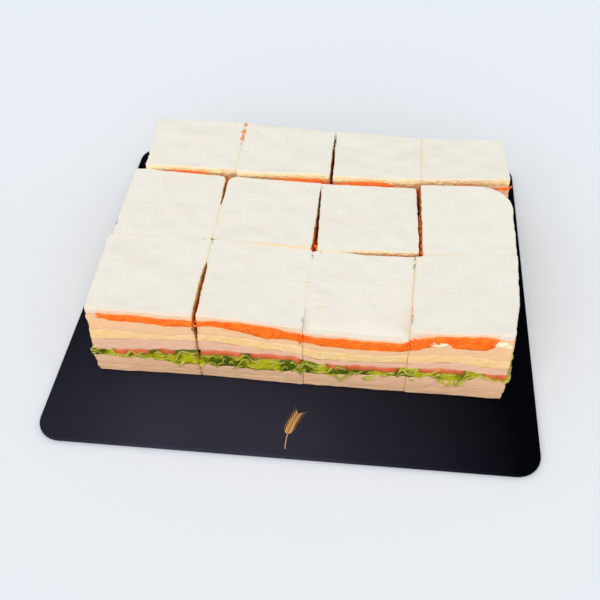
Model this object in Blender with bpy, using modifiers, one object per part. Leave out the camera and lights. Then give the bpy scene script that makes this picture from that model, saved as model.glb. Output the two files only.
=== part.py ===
"""A slab of crustless tea sandwiches, cut three by four, together with its square black board.

Metres, +Z up. The origin is the centre of the board's underside, and -Y is the front. Each
sandwich is one solid of five thin slices of bread with grated carrot, egg, tomato over lettuce
and a thin slice of cheese between them. The layers show as relief round its cut sides.
"""
import math

import bmesh
import bpy
from mathutils import Vector, noise

MM = 0.001

BOARD_SIDE = 0.300
BOARD_THICKNESS = 0.003
BOARD_CORNER_RADIUS = 0.015
BOARD_CORNER_STEPS = 8
BOARD_EDGE_RADIUS = 0.0006
BOARD_EDGE_STEPS = 2

REST_GAP = 0.0003
NOMINAL_HEIGHT = 0.057
CUT_RADIUS = 2.0
SIDE_STEP = 0.0125
ARC_STEP = 0.0045

# Each sandwich's corners in plan, anticlockwise from the front left. A corner is x and y from the
# board's centre, the height of the bread there above the board, and its radius, in millimetres.
SANDWICHES = {
    "sandwich_front_1": (
        (-124.2, -95.4, 57.0, CUT_RADIUS), (-58.8, -96.7, 57.0, CUT_RADIUS),
        (-59.1, -27.3, 57.0, CUT_RADIUS), (-126.2, -27.3, 56.5, CUT_RADIUS)),
    "sandwich_front_2": (
        (-56.1, -96.5, 57.5, CUT_RADIUS), (6.5, -97.6, 54.5, CUT_RADIUS),
        (6.2, -31.1, 56.5, CUT_RADIUS), (-57.7, -27.7, 57.0, CUT_RADIUS)),
    "sandwich_front_3": (
        (7.3, -96.3, 56.3, CUT_RADIUS), (69.2, -96.3, 54.8, CUT_RADIUS),
        (71.4, -31.8, 56.5, CUT_RADIUS), (7.2, -32.4, 56.5, CUT_RADIUS)),
    "sandwich_front_4": (
        (70.1, -97.6, 57.0, CUT_RADIUS), (129.4, -96.2, 58.5, CUT_RADIUS),
        (133.5, -67.4, 57.5, 40.0), (135.2, -25.4, 57.0, CUT_RADIUS),
        (72.4, -31.5, 57.0, CUT_RADIUS)),
    "sandwich_middle_1": (
        (-124.3, -26.1, 56.8, CUT_RADIUS), (-59.1, -25.6, 56.8, CUT_RADIUS),
        (-60.2, 41.6, 56.8, 4.0), (-125.2, 44.4, 56.8, CUT_RADIUS)),
    "sandwich_middle_2": (
        (-58.0, -26.2, 57.0, CUT_RADIUS), (5.9, -29.8, 57.5, CUT_RADIUS),
        (5.7, 39.1, 56.8, CUT_RADIUS), (-58.2, 41.1, 56.8, 5.0)),
    "sandwich_middle_3": (
        (9.5, -31.2, 57.5, CUT_RADIUS), (73.9, -28.2, 57.0, CUT_RADIUS),
        (71.1, 40.2, 56.0, CUT_RADIUS), (6.6, 38.6, 56.5, CUT_RADIUS)),
    "sandwich_middle_4": (
        (76.1, -29.8, 57.0, CUT_RADIUS), (134.8, -24.1, 57.0, CUT_RADIUS),
        (134.9, 44.9, 58.5, 22.0), (73.9, 41.0, 58.5, CUT_RADIUS)),
    "sandwich_back_1": (
        (-118.0, 45.8, 60.0, CUT_RADIUS), (-54.9, 44.6, 60.0, CUT_RADIUS),
        (-55.8, 104.5, 59.5, CUT_RADIUS), (-122.6, 104.0, 59.5, CUT_RADIUS)),
    "sandwich_back_2": (
        (-53.4, 42.8, 60.0, CUT_RADIUS), (11.6, 44.3, 60.0, CUT_RADIUS),
        (10.7, 101.1, 58.0, CUT_RADIUS), (-54.9, 103.1, 59.5, CUT_RADIUS)),
    "sandwich_back_3": (
        (13.8, 42.7, 60.0, CUT_RADIUS), (73.7, 44.8, 59.5, CUT_RADIUS),
        (73.8, 100.1, 56.0, CUT_RADIUS), (12.2, 101.3, 57.5, CUT_RADIUS)),
    "sandwich_back_4": (
        (75.1, 45.1, 59.5, CUT_RADIUS), (135.0, 52.0, 59.0, CUT_RADIUS),
        (133.3, 101.3, 57.2, CUT_RADIUS), (74.8, 100.3, 56.0, CUT_RADIUS)),
}

# The top slice of this sandwich hangs over its front edge: how far it falls, and over what depth.
DROOPING = "sandwich_front_3"
DROOP = 0.007
DROOP_DEPTH = 0.025

# Beyond these planes a side lies open, so that a filling may bulge out of it.
OPEN_LEFT = -0.112
OPEN_RIGHT = 0.124
OPEN_FRONT = -0.090
OPEN_BACK = 0.096

# Levels round a sandwich of nominal height, from the board up, in millimetres: the height, how
# far the level stands out of the cut, how uneven it is outwards and upwards, and what lies above.
LEVELS = (
    (0.0, -0.6, 0.0, 0.0, "bread"),
    (3.8, 0.0, 0.4, 0.4, "cheese"),
    (7.0, 0.0, 0.4, 0.5, "bread"),
    (14.2, -0.2, 0.5, 0.9, "lettuce"),
    (16.8, 1.6, 2.4, 1.0, "lettuce"),
    (20.3, 0.3, 0.9, 0.9, "tomato"),
    (24.5, -0.4, 0.5, 0.9, "bread"),
    (31.7, 0.0, 0.4, 0.8, "egg"),
    (34.6, -0.4, 0.9, 0.5, "egg"),
    (37.5, 0.0, 0.4, 0.8, "bread"),
    (44.7, 0.0, 0.5, 1.4, "carrot"),
    (48.1, 0.6, 1.2, 0.6, "carrot"),
    (51.5, 0.0, 0.5, 0.5, "bread"),
    (55.2, 0.0, 0.3, 0.0, "bread"),
    (56.6, -0.6, 0.2, 0.0, "bread"),
    (57.0, -1.7, 0.0, 0.0, "bread"),
)
TOP_INNER_SHARES = (0.86, 0.55)
TOP_DENT = 0.0007
DENT_LENGTH = 0.020

# The unevenness is smooth noise: its wave length along a side, and how far apart in the noise two
# levels, two sandwiches, and the outward and the upward waves are read.
WAVE_LENGTH = 0.009
LEVEL_STEP = 3.7
SANDWICH_STEP = 11.3
UPWARD_OFFSET = Vector((31.0, 17.0, 5.0))
UPWARD_STRETCH = 0.5

# Linear base colour and roughness of each food.
FOODS = {
    "bread": ((0.87, 0.80, 0.66), 0.85),
    "cheese": ((0.86, 0.62, 0.28), 0.55),
    "lettuce": ((0.20, 0.38, 0.04), 0.45),
    "tomato": ((0.72, 0.20, 0.12), 0.35),
    "egg": ((0.88, 0.70, 0.32), 0.60),
    "carrot": ((0.95, 0.24, 0.03), 0.50),
}
BOARD_COLOUR = (0.010, 0.012, 0.018)
BOARD_ROUGHNESS = 0.30


def clear_scene():
    for old in list(bpy.data.objects):
        bpy.data.objects.remove(old, do_unlink=True)


def make_material(name, colour, roughness):
    material = bpy.data.materials.new(name)
    material.use_nodes = True
    shader = material.node_tree.nodes["Principled BSDF"]
    shader.inputs["Base Color"].default_value = (*colour, 1.0)
    shader.inputs["Roughness"].default_value = roughness
    shader.inputs["Metallic"].default_value = 0.0
    return material


def make_board(collection):
    """A flat square sheet with round corners and slightly eased edges."""
    bpy.ops.mesh.primitive_cube_add(size=1.0)
    board = bpy.context.object
    board.name = "board"
    board.data.name = "board"
    shape = bmesh.new()
    shape.from_mesh(board.data)
    bmesh.ops.scale(shape, vec=(BOARD_SIDE, BOARD_SIDE, BOARD_THICKNESS), verts=shape.verts)
    upright = [e for e in shape.edges if abs(e.verts[0].co.z - e.verts[1].co.z) > BOARD_THICKNESS / 2]
    bmesh.ops.bevel(shape, geom=upright, offset=BOARD_CORNER_RADIUS, segments=BOARD_CORNER_STEPS,
                    profile=0.5, affect="EDGES")
    shape.to_mesh(board.data)
    shape.free()
    board.location.z = BOARD_THICKNESS / 2
    easing = board.modifiers.new("eased edges", "BEVEL")
    easing.width = BOARD_EDGE_RADIUS
    easing.segments = BOARD_EDGE_STEPS
    easing.limit_method = "ANGLE"
    easing.angle_limit = math.radians(60)
    board.data.materials.append(make_material("board", BOARD_COLOUR, BOARD_ROUGHNESS))
    for other in list(board.users_collection):
        other.objects.unlink(board)
    collection.objects.link(board)
    return board


def corner_arc(before, here, after, radius):
    """Points round one corner of an anticlockwise outline, each with its outward direction."""
    back = (before - here).normalized()
    ahead = (after - here).normalized()
    half_angle = back.angle(ahead) / 2
    centre = here + (back + ahead).normalized() * radius / math.sin(half_angle)
    turn = math.pi - 2 * half_angle
    first = here + back * radius / math.tan(half_angle) - centre
    start = math.atan2(first.y, first.x)
    steps = max(2, round(radius * turn / ARC_STEP))
    arc = []
    for step in range(steps + 1):
        angle = start + turn * step / steps
        outward = Vector((math.cos(angle), math.sin(angle)))
        arc.append((centre + outward * radius, outward))
    return arc


def cut_outline(corners):
    """The plan outline of one sandwich: knife cuts with a few points along each, and round corners."""
    places = [Vector((x, y)) * MM for x, y, _, _ in corners]
    radii = [radius * MM for _, _, _, radius in corners]
    count = len(places)
    arcs = [corner_arc(places[i - 1], places[i], places[(i + 1) % count], radii[i]) for i in range(count)]
    outline = []
    for i, arc in enumerate(arcs):
        outline.extend(arc)
        start = arc[-1][0]
        end = arcs[(i + 1) % count][0][0]
        along = end - start
        outward = Vector((along.y, -along.x)).normalized()
        pieces = max(1, round(along.length / SIDE_STEP))
        for step in range(1, pieces):
            outline.append((start + along * step / pieces, outward))
    return outline


def bread_top(corners, place, droop):
    """Height of the top slice above the board, eased between the corners, less any droop."""
    total = 0.0
    weights = 0.0
    for x, y, height, _ in corners:
        weight = 1 / ((place - Vector((x, y)) * MM).length_squared + MM * MM)
        total += weight * height * MM
        weights += weight
    front = min(y for _, y, _, _ in corners) * MM
    share = max(0.0, 1 - (place.y - front) / DROOP_DEPTH)
    return total / weights - droop * share ** 2


def bulge(place, outward, amount):
    """The move out of a cut face. It goes in anywhere, and out only where the side lies open."""
    move = outward * amount
    if amount > 0:
        if OPEN_LEFT < place.x < OPEN_RIGHT:
            move.x = 0.0
        if OPEN_FRONT < place.y < OPEN_BACK:
            move.y = 0.0
    return move


def level_ring(outline, corners, droop, level, seed):
    """One level of the side: its points follow the cut, in or out by the layer's relief."""
    height, proud, uneven_out, uneven_up, _ = LEVELS[level]
    ring = []
    for place, outward in outline:
        spot = Vector((place.x / WAVE_LENGTH, place.y / WAVE_LENGTH, LEVEL_STEP * level + seed))
        amount = (proud + uneven_out * noise.noise(spot)) * MM
        lift = uneven_up * noise.noise(spot * UPWARD_STRETCH + UPWARD_OFFSET) * MM
        flat = place + bulge(place, outward, amount)
        rise = height * MM / NOMINAL_HEIGHT * bread_top(corners, place, droop) + lift
        ring.append(Vector((flat.x, flat.y, BOARD_THICKNESS + max(REST_GAP, rise))))
    return ring


def top_ring(outline, corners, droop, share, seed):
    """An inner ring of the top face, slightly dented."""
    middle = sum((place for place, _ in outline), Vector((0.0, 0.0))) / len(outline)
    ring = []
    for place, _ in outline:
        flat = middle + (place - middle) * share
        dent = TOP_DENT * noise.noise(Vector((flat.x / DENT_LENGTH, flat.y / DENT_LENGTH, seed)))
        ring.append(Vector((flat.x, flat.y, BOARD_THICKNESS + bread_top(corners, flat, droop) + dent)))
    return ring


def loft(rings):
    """A closed solid through rings of equally many points, with a flat bottom and a fan on top."""
    shape = bmesh.new()
    loops = [[shape.verts.new(point) for point in ring] for ring in rings]
    for band, (lower, upper) in enumerate(zip(loops, loops[1:])):
        for i in range(len(lower)):
            j = (i + 1) % len(lower)
            side = shape.faces.new((lower[i], lower[j], upper[j], upper[i]))
            side.material_index = min(band, len(LEVELS) - 1)
    shape.faces.new(tuple(reversed(loops[0])))
    last = loops[-1]
    middle = shape.verts.new(sum((v.co for v in last), Vector()) / len(last))
    for i in range(len(last)):
        cap = shape.faces.new((last[i], last[(i + 1) % len(last)], middle))
        cap.material_index = len(LEVELS) - 1
    bmesh.ops.recalc_face_normals(shape, faces=shape.faces)
    return shape


def make_sandwich(name, corners, number, foods, collection):
    droop = DROOP if name == DROOPING else 0.0
    outline = cut_outline(corners)
    seed = SANDWICH_STEP * number
    rings = [level_ring(outline, corners, droop, level, seed) for level in range(len(LEVELS))]
    rings += [top_ring(outline, corners, droop, share, seed) for share in TOP_INNER_SHARES]
    shape = loft(rings)
    names = list(FOODS)
    for face in shape.faces:
        face.material_index = names.index(LEVELS[face.material_index][4])
    mesh = bpy.data.meshes.new(name)
    shape.to_mesh(mesh)
    shape.free()
    for food in names:
        mesh.materials.append(foods[food])
    sandwich = bpy.data.objects.new(name, mesh)
    collection.objects.link(sandwich)
    return sandwich


def build():
    clear_scene()
    collection = bpy.data.collections.new("tea_sandwiches")
    bpy.context.scene.collection.children.link(collection)
    make_board(collection)
    foods = {food: make_material(food, *look) for food, look in FOODS.items()}
    for number, (name, corners) in enumerate(SANDWICHES.items(), start=1):
        make_sandwich(name, corners, number, foods, collection)


build()
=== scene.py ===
# The looks of a slab of crustless tea sandwiches, cut three by four, on its square black board.

import math

import bpy
import numpy as np
from mathutils import Matrix, Vector, noise
from mathutils.bvhtree import BVHTree


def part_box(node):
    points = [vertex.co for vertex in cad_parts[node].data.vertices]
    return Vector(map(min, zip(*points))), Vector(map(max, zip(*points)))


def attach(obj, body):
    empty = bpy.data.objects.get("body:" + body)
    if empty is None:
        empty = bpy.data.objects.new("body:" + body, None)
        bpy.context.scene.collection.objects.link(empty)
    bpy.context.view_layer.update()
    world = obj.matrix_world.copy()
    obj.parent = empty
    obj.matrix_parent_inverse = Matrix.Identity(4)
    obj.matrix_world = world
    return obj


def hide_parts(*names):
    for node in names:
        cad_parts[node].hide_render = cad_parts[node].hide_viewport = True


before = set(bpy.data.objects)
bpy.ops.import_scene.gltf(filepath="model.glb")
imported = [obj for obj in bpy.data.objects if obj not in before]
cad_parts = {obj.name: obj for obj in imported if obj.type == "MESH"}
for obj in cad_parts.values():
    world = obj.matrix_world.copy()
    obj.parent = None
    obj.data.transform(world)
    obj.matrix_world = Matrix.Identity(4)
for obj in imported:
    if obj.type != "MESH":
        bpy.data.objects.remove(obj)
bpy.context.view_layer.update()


# The board
# A square sheet of fibreboard faced with black laminate, its corners rounded and its edges eased
# by machine. The face is satin, with the hairlines that wiping leaves, and towards its front it is
# painted lighter in streaks: painted sheen, a painted reflection of the light.

MM = 0.001
BOARD_BLACK = (0.0010, 0.0018, 0.0034, 1.0)
BOARD_PAINTED_SHEEN = (0.0370, 0.0375, 0.0570, 1.0)
BOARD_GLOSS = (0.30, 0.42)
BOARD_SPECULAR = 0.005
SHEEN_AND_GLOSS_SIZE = 14.0
SHEEN_MIDDLE = (-0.046, -0.146, 0.0)
SHEEN_REACH = (0.03, 0.185)
HAIRLINE_SIZE = 900.0
HAIRLINE_STRETCH = (1.0, 0.04, 1.0)
HAIRLINE_DEPTH = 0.02


def new_material(name):
    """A material with its Principled shader, and its tree."""
    material = bpy.data.materials.new(name)
    material.use_nodes = True
    return material, material.node_tree, material.node_tree.nodes["Principled BSDF"]


def join(tree, source, target):
    """Links an output to an input, or sets the input where the source is a plain value."""
    if isinstance(source, bpy.types.NodeSocket):
        tree.links.new(source, target)
    else:
        target.default_value = source


def add_node(tree, kind, values=None, **settings):
    """A node with its settings and its inputs, each a socket or a plain value."""
    node = tree.nodes.new(kind)
    for setting, value in settings.items():
        setattr(node, setting, value)
    for socket, value in (values or {}).items():
        join(tree, value, node.inputs[socket])
    return node


def new_group(name, kind, inputs, outputs):
    """A node group with named sockets: inputs as (name, type, value), outputs as (name, type)."""
    group = bpy.data.node_groups.new(name, kind)
    for label, socket_type, value in inputs:
        socket = group.interface.new_socket(label, in_out="INPUT", socket_type=socket_type)
        if value is not None:
            socket.default_value = value
    for label, socket_type in outputs:
        group.interface.new_socket(label, in_out="OUTPUT", socket_type=socket_type)
    return group, group.nodes.new("NodeGroupInput"), group.nodes.new("NodeGroupOutput")


def make_mottle_group():
    """Soft cloudy unevenness in two sizes, for anything that is never quite one colour."""
    group, given, result = new_group(
        "mottle", "ShaderNodeTree",
        [("Size", "NodeSocketFloat", 100.0), ("Sharpness", "NodeSocketFloat", 0.25)],
        [("Mask", "NodeSocketFloat"), ("Fine", "NodeSocketFloat")])
    place = add_node(group, "ShaderNodeTexCoord")
    cloud = add_node(group, "ShaderNodeTexNoise", {"Detail": 3.0, "Roughness": 0.55})
    finer = add_node(group, "ShaderNodeMath", {1: 6.0}, operation="MULTIPLY")
    grain = add_node(group, "ShaderNodeTexNoise", {"Detail": 4.0, "Roughness": 0.6})
    low = add_node(group, "ShaderNodeMath", {0: 0.5}, operation="SUBTRACT")
    high = add_node(group, "ShaderNodeMath", {0: 0.5}, operation="ADD")
    spread = add_node(group, "ShaderNodeMapRange")
    join(group, place.outputs["Object"], cloud.inputs["Vector"])
    join(group, place.outputs["Object"], grain.inputs["Vector"])
    join(group, given.outputs["Size"], cloud.inputs["Scale"])
    join(group, given.outputs["Size"], finer.inputs[0])
    join(group, finer.outputs[0], grain.inputs["Scale"])
    join(group, given.outputs["Sharpness"], low.inputs[1])
    join(group, given.outputs["Sharpness"], high.inputs[1])
    join(group, cloud.outputs["Fac"], spread.inputs["Value"])
    join(group, low.outputs[0], spread.inputs["From Min"])
    join(group, high.outputs[0], spread.inputs["From Max"])
    join(group, spread.outputs["Result"], result.inputs["Mask"])
    join(group, grain.outputs["Fac"], result.inputs["Fine"])
    return group


mottle = make_mottle_group()


def place_group(tree, group, **values):
    """A group in a material, with this material's own values."""
    node = tree.nodes.new("ShaderNodeGroup")
    node.node_tree = group
    for socket, value in values.items():
        node.inputs[socket.replace("_", " ")].default_value = value
    return node


def mix_colour(tree, share, low, high):
    """A colour between two, by a mask. Each may be a socket or a plain value."""
    return add_node(tree, "ShaderNodeMix", {0: share, 6: low, 7: high}, data_type="RGBA").outputs[2]


def spread(tree, value, low, high, to_low=0.0, to_high=1.0):
    """A value's range moved to another, and held there."""
    node = add_node(tree, "ShaderNodeMapRange",
                    {"Value": value, "From Min": low, "From Max": high, "To Min": to_low, "To Max": to_high})
    return node.outputs["Result"]


def multiply(tree, a, b):
    """The product of two masks, each a socket or a plain value."""
    return add_node(tree, "ShaderNodeMath", {0: a, 1: b}, operation="MULTIPLY").outputs[0]


def add_bump(tree, shader, height, strength, distance):
    """Small relief on a shader, from a height."""
    bump = add_node(tree, "ShaderNodeBump", {"Strength": strength, "Distance": distance, "Height": height})
    join(tree, bump.outputs["Normal"], shader.inputs["Normal"])


def make_board_material():
    material, tree, shader = new_material("black laminate")
    sheen_and_gloss_mottle = place_group(tree, mottle, Size=SHEEN_AND_GLOSS_SIZE, Sharpness=0.3)
    place = add_node(tree, "ShaderNodeTexCoord")
    far = add_node(tree, "ShaderNodeVectorMath", {1: SHEEN_MIDDLE}, operation="DISTANCE")
    join(tree, place.outputs["Object"], far.inputs[0])
    # Painted sheen: the laminate is painted lighter round a place near the board's front, a painted
    # reflection of the light, broken into streaks by the mottle.
    sheen_spot = spread(tree, far.outputs["Value"], *SHEEN_REACH, 1.0, 0.0)
    painted_sheen = multiply(tree, sheen_spot, spread(tree, sheen_and_gloss_mottle.outputs["Mask"], 0.0, 1.0, 0.75, 1.0))
    join(tree, mix_colour(tree, painted_sheen, BOARD_BLACK, BOARD_PAINTED_SHEEN), shader.inputs["Base Color"])
    join(tree, spread(tree, sheen_and_gloss_mottle.outputs["Mask"], 0.0, 1.0, *BOARD_GLOSS), shader.inputs["Roughness"])
    stretch = add_node(tree, "ShaderNodeMapping", {"Scale": HAIRLINE_STRETCH, "Rotation": (0.0, 0.0, 0.6)})
    lines = add_node(tree, "ShaderNodeTexNoise", {"Scale": HAIRLINE_SIZE, "Detail": 2.0})
    join(tree, place.outputs["Object"], stretch.inputs["Vector"])
    join(tree, stretch.outputs["Vector"], lines.inputs["Vector"])
    add_bump(tree, shader, lines.outputs["Fac"], HAIRLINE_DEPTH, MM)
    shader.inputs["Specular IOR Level"].default_value = BOARD_SPECULAR
    return material


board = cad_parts["board"]
board_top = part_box("board")[1].z
board.data.materials.clear()
board.data.materials.append(make_board_material())


# The knife's cuts
# The slab is built from large thin slices of crustless bread and cut in twelve squares by eye, so
# no two squares are alike. Each one's outline, top and room to its neighbours come from its solid.

ROWS = ("front", "middle", "back")
COLUMNS = (1, 2, 3, 4)
KNIFE_LEVEL = 0.72
OUTLINE_POINTS = 320
CORNER_REACH = 5
CORNER_TURN = math.radians(55)
NEIGHBOUR_CLEARANCE = 0.02 * MM
SMALLEST_ROOM = 0.05 * MM
SHUT_GAPS = (1.75 * MM, 2.3 * MM)
SHUT_BELOW = (4.0 * MM, 6.0 * MM)
SHUT_HEIGHTS = (28.0 * MM, 52.0 * MM)
OPEN_GAPS = (1.3 * MM, 2.1 * MM, 4.2 * MM, 6.0 * MM)
NEAR_GAPS = (4.0 * MM, 11.0 * MM)
FACING = (0.05, 0.45)
FACING_FRONT = (0.3, 0.8)
HALF_SIDE = 33.0 * MM
TOP_INSET = 2.2 * MM
STRAY_DROP = 9.0 * MM
HELD_SHARE = 0.9
CARRY_STEPS = 8
CARRY_FADE = 0.8
CUT_END = 2.5 * MM
CUT_SCALES = (MM, MM, 1.0, 1.0, 1.0)
ROW_FILLED = 0.9
NO_YELLOW = ((0.0, 0.0), (1.0, 0.0))

# How far the slab's front face is cut under at the board, at places in x, in millimetres.
FRONT_TAPER = ((-125.0, 0.4), (-106.0, 0.9), (-81.0, 2.1), (-53.0, 2.3), (-37.0, 2.7), (-19.0, 2.4),
               (-3.0, 2.0), (17.0, 1.2), (38.0, 1.7), (56.0, 1.1), (77.0, 1.5), (95.0, 1.7), (113.0, 0.5),
               (130.0, 0.3))
FRONT_TAPER_HEIGHT = 16.0 * MM
FRONT_TAPER_REACH = 3.0 * MM

# The cuts between two columns: from where to where in y each stays open, in millimetres, how far
# carrot fills it at those two places, and how yellow its rims are.
COLUMN_CUTS = {
    ("front_1", "front_2"): (-101.0, -50.0, 0.25, 0.05, 0.9),
    ("front_2", "front_3"): (0.0, 0.0, 0.0, 0.0, 0.12),
    ("front_3", "front_4"): (0.0, 0.0, 0.0, 0.0, 0.6),
    ("middle_1", "middle_2"): (10.0, 46.0, 0.60, 0.30, 0.8),
    ("middle_2", "middle_3"): (-34.0, 31.0, 1.00, 0.30, 0.5),
    ("middle_3", "middle_4"): (-34.0, 46.0, 1.00, 0.25, 0.3),
    ("back_1", "back_2"): (0.0, 0.0, 0.0, 0.0, 0.5),
    ("back_2", "back_3"): (42.0, 106.0, 0.15, 0.60, 0.3),
    ("back_3", "back_4"): (0.0, 0.0, 0.0, 0.0, 0.8),
}

# The cuts between two rows: rims' yellow at places in x, in millimetres.
ROW_YELLOW = {
    "middle": ((-125.0, 0.35), (-108.0, 0.10), (-60.0, 0.15), (-36.0, 0.45), (-28.0, 0.9), (4.0, 0.9),
               (12.0, 0.1), (26.0, 0.3), (32.0, 1.0), (58.0, 0.9), (80.0, 0.6), (100.0, 0.5), (108.0, 0.0),
               (135.0, 0.0)),
    "back": ((-125.0, 0.7), (135.0, 0.9)),
}


def soften(values, passes):
    """Averages a closed row of values with its neighbours."""
    for _ in range(passes):
        values = 0.5 * values + 0.25 * (np.roll(values, 1, axis=0) + np.roll(values, -1, axis=0))
    return values


def carry_round(vectors):
    """Carries each vector on to its neighbours round a closed line, fading, where theirs is less."""
    for _ in range(CARRY_STEPS):
        for way in (1, -1):
            carried = CARRY_FADE * np.roll(vectors, way, axis=0)
            more = np.linalg.norm(carried, axis=1) > np.linalg.norm(vectors, axis=1)
            vectors = np.where(more[:, None], carried, vectors)
    return soften(vectors, 1)


def ease(values, low, high):
    """Values between two limits as 0 to 1, with soft ends."""
    share = np.clip((values - low) / (high - low), 0.0, 1.0)
    return share * share * (3 - 2 * share)


def meet(a, towards_a, b, towards_b):
    """Where two lines in plan cross."""
    turn = towards_a[0] * towards_b[1] - towards_a[1] * towards_b[0]
    reach = ((b[0] - a[0]) * towards_b[1] - (b[1] - a[1]) * towards_b[0]) / turn
    return a + reach * towards_a


def sharpen(line):
    """Draws the sides of a closed line on to meet in its tight corners, as a knife leaves them."""
    step = CORNER_REACH
    before = line - np.roll(line, step, axis=0)
    after = np.roll(line, -step, axis=0) - line
    turn = np.arctan2(before[:, 0] * after[:, 1] - before[:, 1] * after[:, 0], (before * after).sum(axis=1))
    line = line.copy()
    for _ in range(4):
        corner = int(turn.argmax())
        if turn[corner] < CORNER_TURN:
            break
        reach = [(corner + k) % len(line) for k in range(-step, step + 1)]
        start, end = line[reach[0]], line[reach[-1]]
        tip = meet(start, start - line[reach[0] - 3], end, end - line[(reach[-1] + 3) % len(line)])
        for share, place in zip(np.linspace(0.0, 2.0, len(reach)), reach):
            line[place] = start + (tip - start) * share if share < 1 else tip + (end - tip) * (share - 1)
        turn[[(corner + k) % len(line) for k in range(-2 * step, 2 * step + 1)]] = 0.0
    return soften(line, 1)


class Square:
    """One square of the slab: its knife line in plan, anticlockwise, and the height of its top."""

    def __init__(self, row, column):
        self.row = row
        self.column = column
        self.name = f"{row}_{column}"
        self.node = f"sandwich_{self.name}"
        self.seed = 10.0 * ROWS.index(row) + 2.3 * column
        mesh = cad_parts[self.node].data
        points = [v.co.copy() for v in mesh.vertices]
        self.tree = BVHTree.FromPolygons(points, [tuple(p.vertices) for p in mesh.polygons])
        self.line = sharpen(self.knife_line(mesh))
        self.middle = self.line.mean(axis=0)
        along = np.roll(self.line, -1, axis=0) - np.roll(self.line, 1, axis=0)
        along /= np.linalg.norm(along, axis=1)[:, None]
        self.out = np.stack([along[:, 1], -along[:, 0]], axis=1)

    def knife_line(self, mesh):
        low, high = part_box(self.node)
        level = low.z + KNIFE_LEVEL * (high.z - low.z)
        crossings = []
        for edge in mesh.edges:
            a, b = (mesh.vertices[i].co for i in edge.vertices)
            if (a.z - level) * (b.z - level) < 0:
                crossings.append(a.lerp(b, (level - a.z) / (b.z - a.z)).xy)
        crossings = np.array(crossings)
        middle = (crossings.min(axis=0) + crossings.max(axis=0)) / 2
        angles = np.arctan2(*(crossings - middle).T[::-1])
        loop = crossings[np.argsort(angles)]
        loop = np.vstack([loop, loop[:1]])
        walked = np.concatenate([[0.0], np.cumsum(np.linalg.norm(np.diff(loop, axis=0), axis=1))])
        stops = np.linspace(0.0, walked[-1], OUTLINE_POINTS, endpoint=False)
        line = np.stack([np.interp(stops, walked, loop[:, 0]), np.interp(stops, walked, loop[:, 1])], axis=1)
        return soften(line, 2)

    def meet_neighbours(self, others):
        """Room to each neighbour, how far a nearly shut cut closes, and where cuts are near."""
        here = np.arange(len(self.line))
        gaps = np.full(len(self.line), 1.0)
        beside = np.zeros(len(self.line), int)
        towards = self.out
        for number, other in enumerate(others):
            apart = other.line[None, :, :] - self.line[:, None, :]
            far = np.linalg.norm(apart, axis=2)
            nearest = far.argmin(axis=1)
            least = far[here, nearest]
            closer = least < gaps
            towards = np.where(closer[:, None], apart[here, nearest] / least[:, None], towards)
            beside = np.where(closer, number, beside)
            gaps = np.where(closer, least, gaps)
        straight = (towards * self.out).sum(axis=1)
        facing = ease(straight, *FACING)
        half_gap = np.maximum(gaps / 2 - NEIGHBOUR_CLEARANCE, SMALLEST_ROOM)
        self.room = half_gap / np.clip(straight, FACING[0], 1.0)
        shut = 1 - ease(gaps, *SHUT_GAPS)
        opened = ease(gaps, *OPEN_GAPS[:2]) * (1 - ease(gaps, *OPEN_GAPS[2:]))
        filled = np.full(len(gaps), ROW_FILLED)
        stations, shares = np.array(ROW_YELLOW.get(self.row, NO_YELLOW)).T
        yellow = np.interp(self.line[:, 0], stations * MM, shares)
        for number, other in enumerate(others):
            cut = COLUMN_CUTS.get((self.name, other.name)) or COLUMN_CUTS.get((other.name, self.name))
            if cut is None:
                continue
            low, high, filled_low, filled_high, yellowness = (
                value * scale for value, scale in zip(cut, CUT_SCALES))
            y = self.line[:, 1]
            wide = ease(y, low - CUT_END, low + CUT_END) * (1 - ease(y, high - CUT_END, high + CUT_END))
            here = beside == number
            shut = np.where(here, 1 - wide, shut)
            opened = np.where(here, wide, opened)
            filled = np.where(here, np.interp(y, (low, high + MM), (filled_low, filled_high)), filled)
            yellow = np.where(here, yellowness, yellow)
        shut_below = np.maximum(shut, 1 - ease(gaps, *SHUT_BELOW))
        self.shutness = soften(facing * shut, 2)
        self.near = soften(facing * (1 - ease(gaps, *NEAR_GAPS)), 2)
        if self.row != "front":
            self.near = np.maximum(self.near, ease(-self.out[:, 1], *FACING_FRONT))
        self.open = soften(facing * opened, 2)
        self.yellow = soften(self.near * yellow, 2)
        self.squeeze = self.open * half_gap * filled
        self.held = carry_round(towards * (facing * shut)[:, None])
        self.held_below = carry_round(towards * (facing * shut_below)[:, None])
        self.shut = carry_round(towards * (facing * shut * half_gap)[:, None])
        self.shut_below = carry_round(towards * (facing * shut_below * half_gap)[:, None])
        self.rim = soften(self.top(self.ring(TOP_INSET)), 3)
        behind = np.maximum(self.line[:, 1] - self.line[:, 1].min() - FRONT_TAPER_REACH, 0.0)
        self.undercut = np.exp(-behind / FRONT_TAPER_REACH) * (self.row == "front")
        self.undercut *= MM * np.interp(self.line[:, 0] / MM, *np.array(FRONT_TAPER).T)

    def ring(self, inset):
        """The knife line drawn in towards the middle by an inset, its corners kept sharp."""
        return self.middle + (self.line - self.middle) * (1 - np.asarray(inset)[..., None] / HALF_SIDE)

    def side(self, inset, push, heights):
        """The knife line drawn in by an inset, pushed out as far as there is room, at heights. It
        leans over to its neighbours low down, where squares touch, and is hardly drawn off from them."""
        low_down = (1 - ease(heights - board_top, *SHUT_HEIGHTS))[:, None]
        held = self.held + (self.held_below - self.held) * low_down
        closing = self.shut + (self.shut_below - self.shut) * low_down
        drawn = self.ring(inset) - self.line
        drawn -= HELD_SHARE * held * (drawn * held).sum(axis=1)[:, None]
        push = np.minimum(push, self.room) * (1 - np.linalg.norm(held, axis=1))
        left = 1 - np.clip(push / self.room, 0.0, 1.0)
        places = self.line + drawn + self.out * push[:, None] + closing * left[:, None]
        places[:, 1] += self.undercut * (1 - ease(heights - board_top, 0.0, FRONT_TAPER_HEIGHT))
        return np.column_stack([places, heights])

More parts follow.
